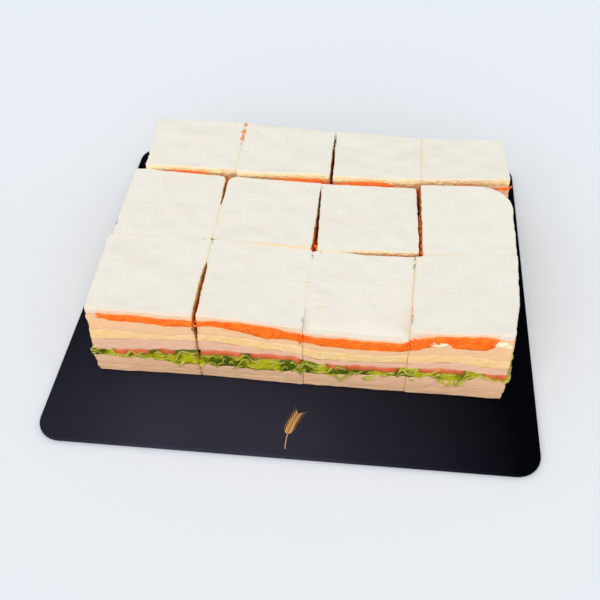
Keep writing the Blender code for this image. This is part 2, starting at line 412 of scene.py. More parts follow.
    def top(self, places):
        """Height of the solid's top over places in plan, read across where a place is beside it."""
        heights = []
        for x, y in places:
            hit = self.tree.ray_cast(Vector((x, y, 1.0)), Vector((0.0, 0.0, -1.0)))[0]
            heights.append(hit.z if hit else -1.0)
        heights = np.array(heights)
        here = np.arange(len(heights))
        good = heights > heights.max() - STRAY_DROP
        return np.interp(here, here[good], heights[good], period=len(heights))


squares = [Square(row, column) for row in ROWS for column in COLUMNS]
for square in squares:
    square.meet_neighbours([other for other in squares if other is not square])


def waves(places, size, seed):
    """Smooth noise over places in plan, about -0.5 to 0.5, with waves of a size."""
    return np.array([noise.noise(Vector((x / size, y / size, seed))) for x, y in places])


# How the layers lie
# From the board up: bread, a thin slice of cheese, bread, lettuce with tomato on it, bread, egg,
# bread, grated carrot, bread. The knife and the filling's weight press the layers unevenly.

STACK_HEIGHT = 57.0 * MM
LEVEL_NAMES = ("cheese_low", "cheese_high", "greens_low", "greens_high",
               "egg_low", "egg_high", "carrot_low", "carrot_high")
LEVELS = (4.8, 6.6, 14.2, 24.5, 31.7, 37.5, 44.7, 51.5)
UNEVENNESS = (0.6, 0.6, 1.2, 1.2, 1.4, 1.4, 2.2, 1.0)
LEVEL_WAVE = 17.0 * MM
FINE_WAVE = 5.0 * MM

# The same levels where the slab's front face shows them, in millimetres above the board, from
# left to right: each row is a place in x, then the eight levels in their order.
FRONT_STATIONS = (
    (-124.0, 4.0, 6.0, 16.5, 21.4, 29.5, 37.6, 53.0, 52.2),
    (-118.4, 4.4, 6.2, 16.7, 21.8, 30.0, 38.2, 53.0, 52.2),
    (-115.0, 4.6, 6.3, 16.7, 22.0, 30.5, 38.7, 49.5, 52.8),
    (-108.7, 5.0, 6.6, 16.6, 22.2, 31.1, 39.2, 47.2, 52.6),
    (-91.2, 5.8, 7.3, 17.0, 24.2, 33.5, 38.3, 47.6, 52.8),
    (-74.0, 6.0, 7.5, 14.4, 26.2, 34.9, 38.7, 46.8, 52.2),
    (-48.3, 5.8, 7.0, 14.8, 28.3, 35.9, 41.9, 49.2, 52.8),
    (-31.2, 5.8, 7.0, 14.9, 28.5, 34.6, 41.4, 46.9, 54.4),
    (-14.1, 5.8, 7.0, 13.9, 29.0, 32.8, 38.7, 42.3, 52.8),
    (0.0, 5.2, 6.4, 15.8, 29.4, 33.1, 38.8, 43.4, 49.4),
    (15.6, 3.2, 4.4, 13.6, 21.9, 26.7, 33.2, 39.3, 45.0),
    (41.6, 3.8, 5.0, 16.1, 24.5, 27.8, 34.1, 38.0, 45.8),
    (64.8, 5.8, 7.0, 17.2, 24.3, 29.0, 34.6, 38.9, 45.2),
    (76.0, 6.2, 7.6, 17.6, 25.5, 30.4, 36.6, 43.2, 51.2),
    (83.0, 6.6, 8.0, 19.6, 26.3, 31.1, 37.5, 45.4, 53.0),
    (87.0, 6.8, 8.2, 17.7, 26.7, 31.9, 38.1, 48.8, 54.2),
    (91.5, 7.0, 8.4, 16.5, 27.0, 32.6, 39.0, 48.2, 54.6),
    (95.0, 7.0, 8.4, 16.4, 27.1, 32.7, 39.2, 45.0, 54.8),
    (108.0, 7.2, 8.6, 18.1, 25.8, 30.8, 38.1, 44.1, 55.0),
    (114.0, 7.4, 8.8, 22.3, 24.2, 29.7, 37.3, 44.4, 55.0),
    (118.5, 7.6, 9.0, 20.7, 23.8, 29.4, 37.0, 46.8, 54.8),
    (121.5, 7.6, 9.0, 18.9, 23.5, 29.3, 36.8, 54.2, 53.6),
    (130.0, 7.6, 9.0, 17.5, 23.5, 29.3, 36.4, 54.4, 53.6),
)
TOP_SLICE_LEAST = 1.4 * MM
VANISHING = (0.4 * MM, 1.5 * MM)
FRONT_FADE = 14.0 * MM
FRONT_REACH = 2.0 * MM

# The rows behind stand back a little and show their carrot in places: each row is a place in x,
# then the carrot's lower and upper level.
CARROT_STATIONS = {
    "middle": ((-66.0, 44.7, 50.0), (-36.0, 44.7, 51.0), (-28.0, 44.7, 54.8), (-5.0, 44.7, 55.4),
               (6.0, 44.7, 55.0), (10.0, 44.7, 51.0), (24.0, 44.7, 51.0), (31.0, 44.7, 53.4),
               (62.0, 44.7, 53.2), (70.0, 44.7, 52.0), (80.0, 44.7, 54.8), (100.0, 44.7, 54.8),
               (110.0, 44.7, 50.0)),
    "back": ((-108.0, 46.0, 51.0), (-102.0, 46.0, 55.4), (-92.0, 46.0, 56.2), (-80.0, 46.0, 56.4),
             (-71.0, 46.0, 53.6), (-64.0, 46.0, 50.5), (-36.0, 46.0, 50.5), (-27.0, 46.0, 54.2),
             (-10.0, 46.0, 55.2), (5.0, 46.0, 55.4), (10.0, 46.0, 52.5), (20.0, 46.0, 54.4),
             (34.0, 46.0, 55.9), (48.0, 46.0, 55.9), (54.0, 46.0, 53.0), (62.0, 46.0, 50.5),
             (92.0, 46.0, 50.5), (98.0, 46.0, 53.6), (108.0, 46.0, 54.0), (113.0, 51.2, 50.4),
             (135.0, 51.2, 50.4)),
}


def level(square, name, places):
    """Height of one layer's boundary over places in plan."""
    number = LEVEL_NAMES.index(name)
    share = LEVELS[number] * MM / STACK_HEIGHT
    top = square.rim if len(places) == len(square.line) else square.top(places)
    seed = square.seed + 5.1 * number
    height = share * (top - board_top) + UNEVENNESS[number] * MM * waves(places, LEVEL_WAVE, seed)
    height += 0.4 * MM * waves(places, FINE_WAVE, seed)
    table, column = FRONT_STATIONS, number + 1
    if square.row != "front":
        table, column = CARROT_STATIONS[square.row], number - 5
    if column > 0:
        stations, shown = (np.array([row[i] for row in table]) * MM for i in (0, column))
        shown = np.interp(places[:, 0], stations, shown) + 0.8 * MM * waves(places, FINE_WAVE, seed)
        behind = np.maximum(places[:, 1] - square.line[:, 1].min() - FRONT_REACH, 0.0)
        near = np.exp(-behind / FRONT_FADE)
        height = height * (1 - near) + shown * near
    if name == "carrot_high":
        height = np.minimum(height, top - board_top - TOP_SLICE_LEAST)
    return board_top + height


# The bread
# Five thin slices of soft white sandwich bread, its crusts trimmed off before filling. The cut
# presses the crumb nearly smooth, tinted by what lies beside it, while the top stays pale and dry.
# Painted shade darkens the top slice's cut side, the top where it tilts to the front, the walls
# down into the cuts between squares, and the pores and creases.

SLICES = (
    # below, above, how far the cut stands out, how pink the cut is, how much it is like the top
    (None, "cheese_low", 0.0, 0.45, 0.0),
    ("cheese_high", "greens_low", 0.1, 0.55, 0.0),
    ("greens_high", "egg_low", 0.0, 1.0, 0.0),
    ("egg_high", "carrot_low", 0.1, 0.12, 0.0),
    ("carrot_high", None, 0.0, 0.0, 1.0),
)
SLICE_REST = 0.3 * MM
SLICE_LEAST = 1.5 * MM
CORE_INSET = 4.5 * MM
CORE_EDGE_MM = 4.0
RIPPLE_WAVE = 6.0 * MM
RIPPLE_DEPTH = 0.3 * MM
CUT_ROWS = 9
CUT_WAVE = 9.0 * MM
CUT_DEPTH = 0.5 * MM
RAGGED_WAVE = 2.6 * MM
RAGGED_DEPTH = 2.2 * MM
RAGGED_SIDES = (1.0, 0.35)
RAGGED_TOP = 0.4
RIM_TEAR = 1.1 * MM
TEAR_AT_TOP = 0.3
TEAR_WAVE = 2.3 * MM
TAPER = (3.4 * MM, 1.9 * MM)
TAPER_HEIGHT = 13.0 * MM
BOTTOM_EDGE = ((1.7, 0.0), (0.8, 0.4), (0.2, 1.2))
SLICE_EDGE = ((0.22, 0.0), (0.06, 0.08), (0.0, 0.28))
TOP_EDGE = ((0.0, 1.0), (0.10, 0.42), (0.34, 0.13), (0.8, 0.0), (1.2, 0.0))
SHUT_CRISP = 0.93
TOP_INSETS = (2.2, 3.2, 4.4, 5.7, 7.0, 8.6, 10.2, 11.9, 13.6, 15.5, 17.5, 19.5, 21.8, 24.2, 27.0, 30.0)
DENT_WAVE = 13.0 * MM
DENT_DEPTH = 0.7 * MM
WRINKLE_WAVE = 4.0 * MM
WRINKLE_DEPTH = 0.12 * MM
CREASED_MIDDLE = (0.0, -0.060, 0.060)
CREASED_REACH = (0.030, 0.060)

CRUMB_TOP = (0.878, 0.848, 0.765, 1.0)
CRUMB_TOP_WARM = (0.868, 0.816, 0.700, 1.0)
CRUMB_CUT = (0.860, 0.525, 0.280, 1.0)
CRUMB_PINK = (0.800, 0.472, 0.320, 1.0)
CRUMB_RIM = (0.910, 0.730, 0.400, 1.0)
CRUMB_TILT_SHADE = (0.790, 0.735, 0.640, 1.0)
SHADE_TILT = (-0.30, -0.06)
CRUMB_FACE_SHADED = (0.780, 0.683, 0.573, 1.0)
CRUMB_PORE_SHADE = (0.700, 0.430, 0.220, 1.0)
CARROT_STAIN = (0.940, 0.420, 0.150, 1.0)
STAIN_REACH = {"front": 5.6 * MM, "middle": 3.2 * MM, "back": 3.2 * MM}
STAIN_ABOVE = 0.88
STAIN_BELOW = 0.30
STAIN_BELOW_REACH = 1.6 * MM
RIM_FADE = {"front": 3.2 * MM, "middle": 3.2 * MM, "back": 4.6 * MM}
JUICE_AND_SHADE = (0.280, 0.080, 0.014, 1.0)
SOAKED_AND_SHADED = (0.500, 0.170, 0.035, 1.0)
OPEN_UNSTAINED = 0.8
SLIT_DARKER = 0.75
SLIT_CRISP = 0.6
OUTER_FACING = (0.3, 0.8)
CRUMB_SOFTNESS = 0.22


def closed_mesh(name, rings, attributes):
    """A closed mesh through rings of points, from the middle of the underside, round the side, to
    the middle of the top, with a value of each attribute for each ring's points."""
    count = rings.shape[1]
    points = np.vstack([rings.reshape(-1, 3), rings[:1].mean(axis=1), rings[-1:].mean(axis=1)])
    here = np.arange(count)
    after = (here + 1) % count
    faces = []
    for lower in range(len(rings) - 1):
        base, above = lower * count, (lower + 1) * count
        faces += np.stack([base + here, base + after, above + after, above + here], axis=1).tolist()
    last = (len(rings) - 1) * count
    faces += [(len(points) - 2, a, b) for a, b in zip(after.tolist(), here.tolist())]
    faces += [(len(points) - 1, last + a, last + b) for a, b in zip(here.tolist(), after.tolist())]
    mesh = bpy.data.meshes.new(name)
    mesh.from_pydata(points.tolist(), [], faces)
    for label, values in attributes.items():
        flat = np.concatenate([values.ravel(), [values[0].mean(), values[-1].mean()]])
        marks = mesh.attributes.new(label, "FLOAT", "POINT").data
        marks.foreach_set("value", flat.astype(np.float32))
    mesh.shade_smooth()
    return mesh


def with_height(places, heights):
    return np.column_stack([places, heights])


def bread_slice(square, number):
    """One slice: its underside, the cut round it, and its upper side, as rings of points."""
    below, above, proud, pink, pale = SLICES[number]
    line = square.line
    low = np.full(len(line), board_top + SLICE_REST) if below is None else level(square, below, line)
    high = square.rim if above is None else level(square, above, line)
    high = np.maximum(high, low + SLICE_LEAST)
    seed = square.seed + 40.0 + number
    swell = proud * MM + CUT_DEPTH * waves(line, CUT_WAVE, seed)
    left, right = (np.clip(way * square.out[:, 0], 0.0, 1.0) * (1 - square.near) * (square.column == column)
                   for way, column in ((-1, COLUMNS[0]), (1, COLUMNS[-1])))
    ragged = RAGGED_DEPTH * (RAGGED_SIDES[0] * left + RAGGED_SIDES[1] * right)
    if above is None:
        ragged *= RAGGED_TOP
    swell += ragged * waves(line, RAGGED_WAVE, seed)
    slit = square.open * ease(np.abs(square.out[:, 0]), *OUTER_FACING)
    torn = RIM_TEAR * square.near * (1 - square.shutness) * (above is None)
    lower = BOTTOM_EDGE if below is None else SLICE_EDGE
    upper = TOP_EDGE if above is None else tuple((inset, fall) for inset, fall in SLICE_EDGE[::-1])
    rings = [with_height(square.ring(CORE_INSET), 0.5 * (low.mean() + low))]
    edge_mm = [np.full(len(line), CORE_EDGE_MM)]
    seam_mm = [np.full(len(line), CORE_EDGE_MM)]

    def add_ring(push, inset, height, edge):
        tapering = (TAPER[0] * left + TAPER[1] * right) * (1 - ease(height - board_top, 0.0, TAPER_HEIGHT))
        rings.append(square.side(inset * MM, push - tapering, height))
        edge_mm.append(np.full(len(line), edge))
        seam_mm.append(edge * crisp)

    crisp = 1 - SHUT_CRISP * np.maximum(square.shutness, np.linalg.norm(square.held, axis=1))
    crisp *= 1 - SLIT_CRISP * slit
    for inset, rise in lower:
        add_ring(swell, inset, low + rise * MM, 0.0)
    first, last = lower[-1][1], upper[0][1]
    for share in np.linspace(0.0, 1.0, CUT_ROWS)[1:-1]:
        ripple = RIPPLE_DEPTH * waves(line, RIPPLE_WAVE, seed + 3.0 * share)
        ripple += 0.5 * ragged * waves(line, RAGGED_WAVE, seed + 5.0 * share)
        ripple += torn * waves(line, TEAR_WAVE, seed + 5.0 * share)
        add_ring(swell + ripple, 0.0, low + first * MM + share * (high - low - (first + last) * MM), 0.0)
    swell += TEAR_AT_TOP * torn * waves(line, TEAR_WAVE, seed + 5.0)
    for inset, fall in upper:
        add_ring(swell, inset * crisp, high - fall * crisp * MM, inset if above is None else 0.0)
    if above is None:
        insets = [square.ring(inset * MM) for inset in TOP_INSETS]
        heights = np.array([square.rim] + [square.top(places) for places in insets[1:]])
        for _ in range(4):
            heights = soften(heights.T, 1).T
            heights[1:-1] = 0.5 * heights[1:-1] + 0.25 * (heights[:-2] + heights[2:])
        for order, places in enumerate(insets):
            relief = DENT_DEPTH * waves(places, DENT_WAVE, seed)
            relief += WRINKLE_DEPTH * waves(places, WRINKLE_WAVE, seed)
            rings.append(with_height(places, heights[order] + min(1.0, order / 3) * relief))
            edge_mm.append(np.linalg.norm(places - line, axis=1) / MM)
            seam_mm.append(edge_mm[-1])
    else:
        rings.append(with_height(square.ring(CORE_INSET), 0.5 * (high.mean() + high)))
        edge_mm.append(np.full(len(line), CORE_EDGE_MM))
        seam_mm.append(np.full(len(line), CORE_EDGE_MM))
    rings = np.array(rings)
    heights = rings[:, :, 2]
    stain, deep = np.zeros(heights.shape), np.zeros(heights.shape)
    if above == "carrot_low":
        stain = STAIN_BELOW * np.clip(1 - (high - heights) / STAIN_BELOW_REACH, 0.0, 1.0)
    if below == "carrot_high":
        carrot = ease(low - level(square, "carrot_low", line), *VANISHING)
        reach = np.minimum(STAIN_REACH[square.row], high - low + 0.4 * MM)
        stain = STAIN_ABOVE * carrot * np.clip(1 - (heights - low) / reach, 0.0, 1.0)
        stain[-len(TOP_INSETS):] = 0.0
        stain = stain * (1 - OPEN_UNSTAINED * slit)
        deep = np.clip((high - heights) / (RIM_FADE[square.row] * (1 - SLIT_DARKER * slit)), 0.0, 1.0)
    marks = {"edge_mm": np.array(edge_mm), "seam_mm": np.array(seam_mm), "stain": stain, "deep": deep}
    marks |= {label: np.full(heights.shape, value) for label, value in (("pink", pink), ("pale", pale))}
    marks |= {label: np.tile(values, (len(rings), 1))
              for label, values in (("near", square.near), ("open", square.open), ("yellow", square.yellow),
                                    ("shut", square.shutness), ("slit", slit))}
    return rings, marks


def make_crumb_group():
    """Fine bread crumb: a mask of small pores, and a height that holds the pores and a soft grain."""
    group, given, result = new_group(
        "bread crumb", "ShaderNodeTree",
        [("Pore Size", "NodeSocketFloat", 700.0), ("Pore Share", "NodeSocketFloat", 0.3)],
        [("Pores", "NodeSocketFloat"), ("Height", "NodeSocketFloat")])
    place = add_node(group, "ShaderNodeTexCoord")
    bend = add_node(group, "ShaderNodeTexNoise", {"Scale": 320.0, "Detail": 2.0})
    lift = add_node(group, "ShaderNodeVectorMath", {1: (0.5, 0.5, 0.5)}, operation="SUBTRACT")
    reach = add_node(group, "ShaderNodeVectorMath", {"Scale": 0.0016}, operation="SCALE")
    moved = add_node(group, "ShaderNodeVectorMath", operation="ADD")
    cells = add_node(group, "ShaderNodeTexVoronoi", {"Randomness": 1.0})
    where = add_node(group, "ShaderNodeTexNoise", {"Scale": 180.0, "Detail": 2.0})
    chosen = add_node(group, "ShaderNodeMath", operation="MULTIPLY")
    pores = add_node(group, "ShaderNodeMapRange", {"From Min": 0.0, "To Min": 1.0, "To Max": 0.0})
    grain = add_node(group, "ShaderNodeTexNoise", {"Scale": 1500.0, "Detail": 3.0, "Roughness": 0.6})
    sunk = add_node(group, "ShaderNodeMath", {1: -0.8}, operation="MULTIPLY")
    height = add_node(group, "ShaderNodeMath", operation="ADD")
    join(group, place.outputs["Object"], bend.inputs["Vector"])
    join(group, bend.outputs["Color"], lift.inputs[0])
    join(group, lift.outputs[0], reach.inputs[0])
    join(group, place.outputs["Object"], moved.inputs[0])
    join(group, reach.outputs[0], moved.inputs[1])
    join(group, moved.outputs[0], cells.inputs["Vector"])
    join(group, given.outputs["Pore Size"], cells.inputs["Scale"])
    join(group, place.outputs["Object"], where.inputs["Vector"])
    join(group, where.outputs["Fac"], chosen.inputs[0])
    join(group, given.outputs["Pore Share"], chosen.inputs[1])
    join(group, cells.outputs["Distance"], pores.inputs["Value"])
    join(group, chosen.outputs[0], pores.inputs["From Max"])
    join(group, place.outputs["Object"], grain.inputs["Vector"])
    join(group, pores.outputs["Result"], sunk.inputs[0])
    join(group, grain.outputs["Fac"], height.inputs[0])
    join(group, sunk.outputs[0], height.inputs[1])
    join(group, pores.outputs["Result"], result.inputs["Pores"])
    join(group, height.outputs[0], result.inputs["Height"])
    return group


crumb = make_crumb_group()


def read_attribute(tree, name):
    """A value that the mesh carries at its points."""
    return add_node(tree, "ShaderNodeAttribute", attribute_name=name).outputs["Fac"]


def add_creases(tree):
    """Short shallow creases on the pressed top, mostly one way: a mask, 1 in a crease."""
    place = add_node(tree, "ShaderNodeTexCoord")
    stretch = add_node(tree, "ShaderNodeMapping", {"Scale": (1.0, 3.4, 1.0), "Rotation": (0.0, 0.0, 0.25)})
    lines = add_node(tree, "ShaderNodeTexNoise", {"Scale": 95.0, "Detail": 2.5, "Roughness": 0.55})
    area = add_node(tree, "ShaderNodeTexNoise", {"Scale": 24.0, "Detail": 1.0})
    join(tree, place.outputs["Object"], stretch.inputs["Vector"])
    join(tree, stretch.outputs["Vector"], lines.inputs["Vector"])
    join(tree, place.outputs["Object"], area.inputs["Vector"])
    thin = spread(tree, lines.outputs["Fac"], 0.34, 0.42, 1.0, 0.0)
    thin = multiply(tree, thin, spread(tree, area.outputs["Fac"], 0.46, 0.60))
    far = add_node(tree, "ShaderNodeVectorMath", {1: CREASED_MIDDLE}, operation="DISTANCE")
    join(tree, place.outputs["Object"], far.inputs[0])
    return multiply(tree, thin, spread(tree, far.outputs["Value"], *CREASED_REACH, 1.0, 0.25))


def make_bread_material():
    material, tree, shader = new_material("white crumb")
    uneven = place_group(tree, mottle, Size=42.0, Sharpness=0.28)
    fine = uneven.outputs["Fine"]
    pores = place_group(tree, crumb, Pore_Size=620.0, Pore_Share=0.55)
    edge_mm = read_attribute(tree, "edge_mm")
    yellow = read_attribute(tree, "yellow")
    pale = read_attribute(tree, "pale")
    top = mix_colour(tree, uneven.outputs["Mask"], CRUMB_TOP, CRUMB_TOP_WARM)
    # Painted shade: where the top tilts towards the front light it is painted darker, holding back that
    # light.
    facing = add_node(tree, "ShaderNodeNewGeometry")
    tilt = add_node(tree, "ShaderNodeSeparateXYZ")
    join(tree, facing.outputs["Normal"], tilt.inputs[0])
    top = mix_colour(tree, spread(tree, tilt.outputs["Y"], *SHADE_TILT, 1.0, 0.0), top, CRUMB_TILT_SHADE)
    cut = mix_colour(tree, read_attribute(tree, "pink"), CRUMB_CUT, CRUMB_PINK)
    # Partly carrot juice and partly painted shade: in open cuts the cut sides are painted dark brown in
    # patches.
    juice_and_shade = multiply(tree, read_attribute(tree, "open"), spread(tree, fine, 0.40, 0.60, 0.3, 0.9))
    cut = mix_colour(tree, juice_and_shade, cut, JUICE_AND_SHADE)
    # Partly carrot juice and partly painted shade: near a neighbouring square the top slice's side grades
    # down from its face colour to yellow and then dark brown, in the gap between the squares, and sooner in
    # open cuts.
    depth = multiply(tree, read_attribute(tree, "near"), read_attribute(tree, "deep"))
    # Painted shade: the top slice's cut side starts from a colour darker than its top, holding back the front
    # light on it.
    face = mix_colour(tree, spread(tree, depth, 0.0, 0.6), CRUMB_FACE_SHADED, CRUMB_RIM)
    soaked_and_shaded = multiply(tree, spread(tree, depth, 0.60, 0.95), spread(tree, fine, 0.40, 0.52, 0.65, 0.95))
    face = mix_colour(tree, soaked_and_shaded, face, mix_colour(tree, read_attribute(tree, "slit"), SOAKED_AND_SHADED, JUICE_AND_SHADE))
    cut = mix_colour(tree, pale, cut, face)
    seam_mm = read_attribute(tree, "seam_mm")
    closed = multiply(tree, read_attribute(tree, "shut"), pale)
    near_edge = spread(tree, seam_mm, 0.1, 1.4, 1.0, 0.0)
    patchy = spread(tree, fine, 0.40, 0.56, 0.25, 1.0)
    both = mix_colour(tree, spread(tree, edge_mm, 0.05, 0.9, 1.0, 0.0), top, cut)
    rim = multiply(tree, multiply(tree, multiply(tree, near_edge, yellow), patchy), pale)
    both = mix_colour(tree, rim, both, CRUMB_RIM)
    even = spread(tree, fine, 0.40, 0.60, 0.85, 1.0)
    stained = mix_colour(tree, multiply(tree, read_attribute(tree, "stain"), even), both, CARROT_STAIN)
    # Painted shade: the pores and, below, the creases are painted darker, standing for the shade inside them.
    dark = spread(tree, pores.outputs["Pores"], 0.0, 1.0, 0.0, 0.16)
    creases = add_creases(tree)
    shaded = mix_colour(tree, dark, stained, CRUMB_PORE_SHADE)
    shaded = mix_colour(tree, multiply(tree, creases, 0.09), shaded, CRUMB_PORE_SHADE)
    join(tree, shaded, shader.inputs["Base Color"])
    soft = multiply(tree, closed, spread(tree, seam_mm, 0.0, 4.0, 1.0, 0.0))
    join(tree, spread(tree, soft, 0.0, 1.0, CRUMB_SOFTNESS, 0.0), shader.inputs["Subsurface Weight"])
    shader.inputs["Roughness"].default_value = 0.82
    shader.inputs["Subsurface Radius"].default_value = (0.0022, 0.0014, 0.0008)
    shader.inputs["Subsurface Scale"].default_value = 1.0
    deep = add_node(tree, "ShaderNodeBump", {"Strength": 0.35, "Distance": 0.4 * MM}, invert=True)
    bump = add_node(tree, "ShaderNodeBump", {"Strength": 0.35, "Distance": 0.4 * MM})
    join(tree, creases, deep.inputs["Height"])
    join(tree, deep.outputs["Normal"], bump.inputs["Normal"])
    join(tree, pores.outputs["Height"], bump.inputs["Height"])
    join(tree, bump.outputs["Normal"], shader.inputs["Normal"])
    return material


def new_piece(name, mesh, material):
    """An object of the dressed part, at the origin as a finished piece is."""
    mesh.materials.clear()
    mesh.materials.append(material)
    piece = bpy.data.objects.new(name, mesh)
    bpy.context.scene.collection.objects.link(piece)
    return piece


def merge_meshes(name, meshes):
    """Several meshes as one, with their attributes kept."""
    first = bpy.data.objects.new(name, meshes[0])
    rest = [bpy.data.objects.new(f"{name}_{i}", mesh) for i, mesh in enumerate(meshes[1:])]
    for thing in [first] + rest:
        bpy.context.scene.collection.objects.link(thing)
    with bpy.context.temp_override(active_object=first, selected_editable_objects=[first] + rest,
                                   selected_objects=[first] + rest, object=first):
        bpy.ops.object.join()
    mesh = first.data
    bpy.data.objects.remove(first)
    return mesh


def serve(piece, square=None):
    """Hands a finished piece to the frame: it rides with the board, and stands for its square."""
    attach(piece, "root")
    if square is not None:
        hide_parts(square.node)


bread_material = make_bread_material()
for square in squares:
    slices = []
    for number in range(len(SLICES)):
        rings, attributes = bread_slice(square, number)
        slices.append(closed_mesh(f"slice_{number}", rings, attributes))
    serve(new_piece(f"bread_{square.name}", merge_meshes("bread", slices), bread_material), square)


# The cheese
# One thin slice of mild cheese in the lowest sandwich, cut flush with the bread, so that it shows
# only as a pale yellow line that softens where it warms.

CHEESE_COLOUR = (0.880, 0.590, 0.300, 1.0)
CHEESE_DEEP = (0.850, 0.530, 0.300, 1.0)
OVERLAP = 0.25 * MM
EDGE_SINK = 0.2 * MM
VANISHED_SINK = 1.4 * MM
THIN_ROWS = 5
CHEESE_RIPPLE = (0.2 * MM, 8.0 * MM)


def layer_rings(square, low, high, out, rows, seed, ripple, ripple_wave, squeezed=0.0):
    """A filling between two heights: its side stands out by a distance and ripples, and its upper
    and lower faces reach a little into the bread, where they are hidden."""
    line = square.line
    thin = 1 - ease(high - low, *VANISHING)
    low = low - OVERLAP
    high = np.maximum(high + OVERLAP, low + 0.8 * MM)
    rings = [with_height(square.ring(CORE_INSET), low)]
    for share in np.linspace(0.0, 1.0, rows):
        middle = 1 - (2 * share - 1) ** 4
        push = out * middle - EDGE_SINK * (1 - middle) - VANISHED_SINK * thin
        push += ripple * (1 - thin) * waves(line, ripple_wave, seed + 2.7 * share)
        push = np.maximum(push, squeezed * middle * square.squeeze)
        rings.append(square.side(0.0, push, low + share * (high - low)))
    rings.append(with_height(square.ring(CORE_INSET), high))
    return np.array(rings)


def boundaries(square, name):
    """The lower and the upper height of a layer, round the knife line."""
    return [level(square, f"{name}_{end}", square.line) for end in ("low", "high")]


def make_cheese_material():
    material, tree, shader = new_material("mild cheese")
    uneven = place_group(tree, mottle, Size=60.0, Sharpness=0.3)
    colour = mix_colour(tree, uneven.outputs["Mask"], CHEESE_COLOUR, CHEESE_DEEP)
    join(tree, colour, shader.inputs["Base Color"])
    join(tree, spread(tree, uneven.outputs["Fine"], 0.3, 0.7, 0.42, 0.62), shader.inputs["Roughness"])
    shader.inputs["Subsurface Weight"].default_value = 0.3
    shader.inputs["Subsurface Radius"].default_value = (0.003, 0.002, 0.001)
    add_bump(tree, shader, uneven.outputs["Fine"], 0.25, 0.2 * MM)
    return material


cheese_material = make_cheese_material()
for square in squares:
    rings = layer_rings(square, *boundaries(square, "cheese"), 0.0, THIN_ROWS, square.seed + 61.0,
                        *CHEESE_RIPPLE)
    mesh = closed_mesh(f"cheese_{square.name}", rings, {})
    serve(new_piece(f"cheese_{square.name}", mesh, cheese_material), square)


# The tomato
# Round slices of ripe tomato under the third slice of bread, wet, with darker skin round their
# rims. The knife has cut them flush, so each shows as a salmon red bar on the cut.

TOMATO_FLESH = (0.600, 0.100, 0.026, 1.0)
TOMATO_PALE = (0.740, 0.190, 0.075, 1.0)
TOMATO_SKIN = (0.400, 0.080, 0.012, 1.0)
TOMATO_RADIUS = 27.0 * MM
SMALL_RADIUS = 15.0 * MM
SMALL_HALF = 7.0 * MM
TOMATO_THICKNESS = 5.0 * MM
TOMATO_POINTS = 120
TOMATO_PLACES = ((-15.0, -14.0), (16.0, -11.0), (1.0, 17.0))
TOMATO_SHIFT = 9.0 * MM
TOMATO_RINGS = ((0.5, 0.0), (0.97, 0.0), (1.0, 0.12), (1.0, 0.5), (1.0, 0.88), (0.97, 1.0), (0.5, 1.0))

# Where slices show on the slab's front face, as left and right ends in x, in millimetres.
FRONT_TOMATO = {
    "front_1": ((-109.4, -89.6), (-80.9, -72.3)),
    "front_2": ((-56.8, -31.5), (-24.5, 6.0)),
    "front_3": ((22.5, 33.0), (33.4, 64.7)),
    "front_4": ((77.0, 102.5), (117.8, 128.5)),
}


def lay_tomato(square):
    """The middle and radius of each slice on a square. Slices that the front face shows come
    first: each is set back so that the knife leaves it the width that shows."""
    discs = []
    front = square.line[:, 1].min()
    for left, right in FRONT_TOMATO.get(square.name, ()):
        half = (right - left) / 2 * MM
        radius = TOMATO_RADIUS if half > SMALL_HALF else SMALL_RADIUS
        centre = np.array([(left + right) / 2 * MM, front + math.sqrt(radius ** 2 - half ** 2)])
        discs.append((centre, radius))
    for number in range(len(discs), len(TOMATO_PLACES)):
        seed = square.seed + 80.0 + number
        shift = [noise.noise(Vector((seed, 0.3, 0.7))), noise.noise(Vector((0.3, seed, 0.7)))]
        centre = square.middle + np.array(TOMATO_PLACES[number]) * MM + np.array(shift) * TOMATO_SHIFT
        discs.append((centre, TOMATO_RADIUS * (1 + 0.10 * noise.noise(Vector((seed, 5.0, 5.0))))))
    return discs


def reach_to_line(square, centre, directions):
    """How far the knife line lies from a place inside it, along each direction."""
    a = square.line - centre
    side = np.roll(a, -1, axis=0) - a
    cross = directions[:, None, 0] * side[None, :, 1] - directions[:, None, 1] * side[None, :, 0]
    cross = np.where(np.abs(cross) < 1e-12, 1e-12, cross)
    far = (a[None, :, 0] * side[None, :, 1] - a[None, :, 1] * side[None, :, 0]) / cross
    share = (a[None, :, 0] * directions[:, None, 1] - a[None, :, 1] * directions[:, None, 0]) / cross
    hit = (far > 0) & (share >= -1e-6) & (share <= 1 + 1e-6)
    return np.where(hit, far, np.inf).min(axis=1)


def tomato_slice(square, number):
    """One round slice, cut off where the knife went."""
    seed = square.seed + 80.0 + number
    centre, radius = square.discs[number]
    angles = np.linspace(0.0, 2 * math.pi, TOMATO_POINTS, endpoint=False)
    directions = np.stack([np.cos(angles), np.sin(angles)], axis=1)
    whole = radius * (1.0 + 0.03 * np.array([noise.noise(Vector((x, y, seed))) for x, y in directions]))
    reach = np.minimum(reach_to_line(square, centre, directions) + 0.1 * MM, whole)
    skin = np.clip(1 - (whole - reach) / (0.8 * MM), 0.0, 1.0)
    places = centre + directions * reach[:, None]
    high = level(square, "greens_high", places)
    thickness = TOMATO_THICKNESS * (1 + 0.3 * noise.noise(Vector((seed, 9.0, 2.0))))
    rings = []
    for share, rise in TOMATO_RINGS:
        rings.append(with_height(centre + (places - centre) * share, high + OVERLAP - thickness * (1 - rise)))
    rings = np.array(rings)
    return rings, {"skin": np.tile(skin, (len(rings), 1))}


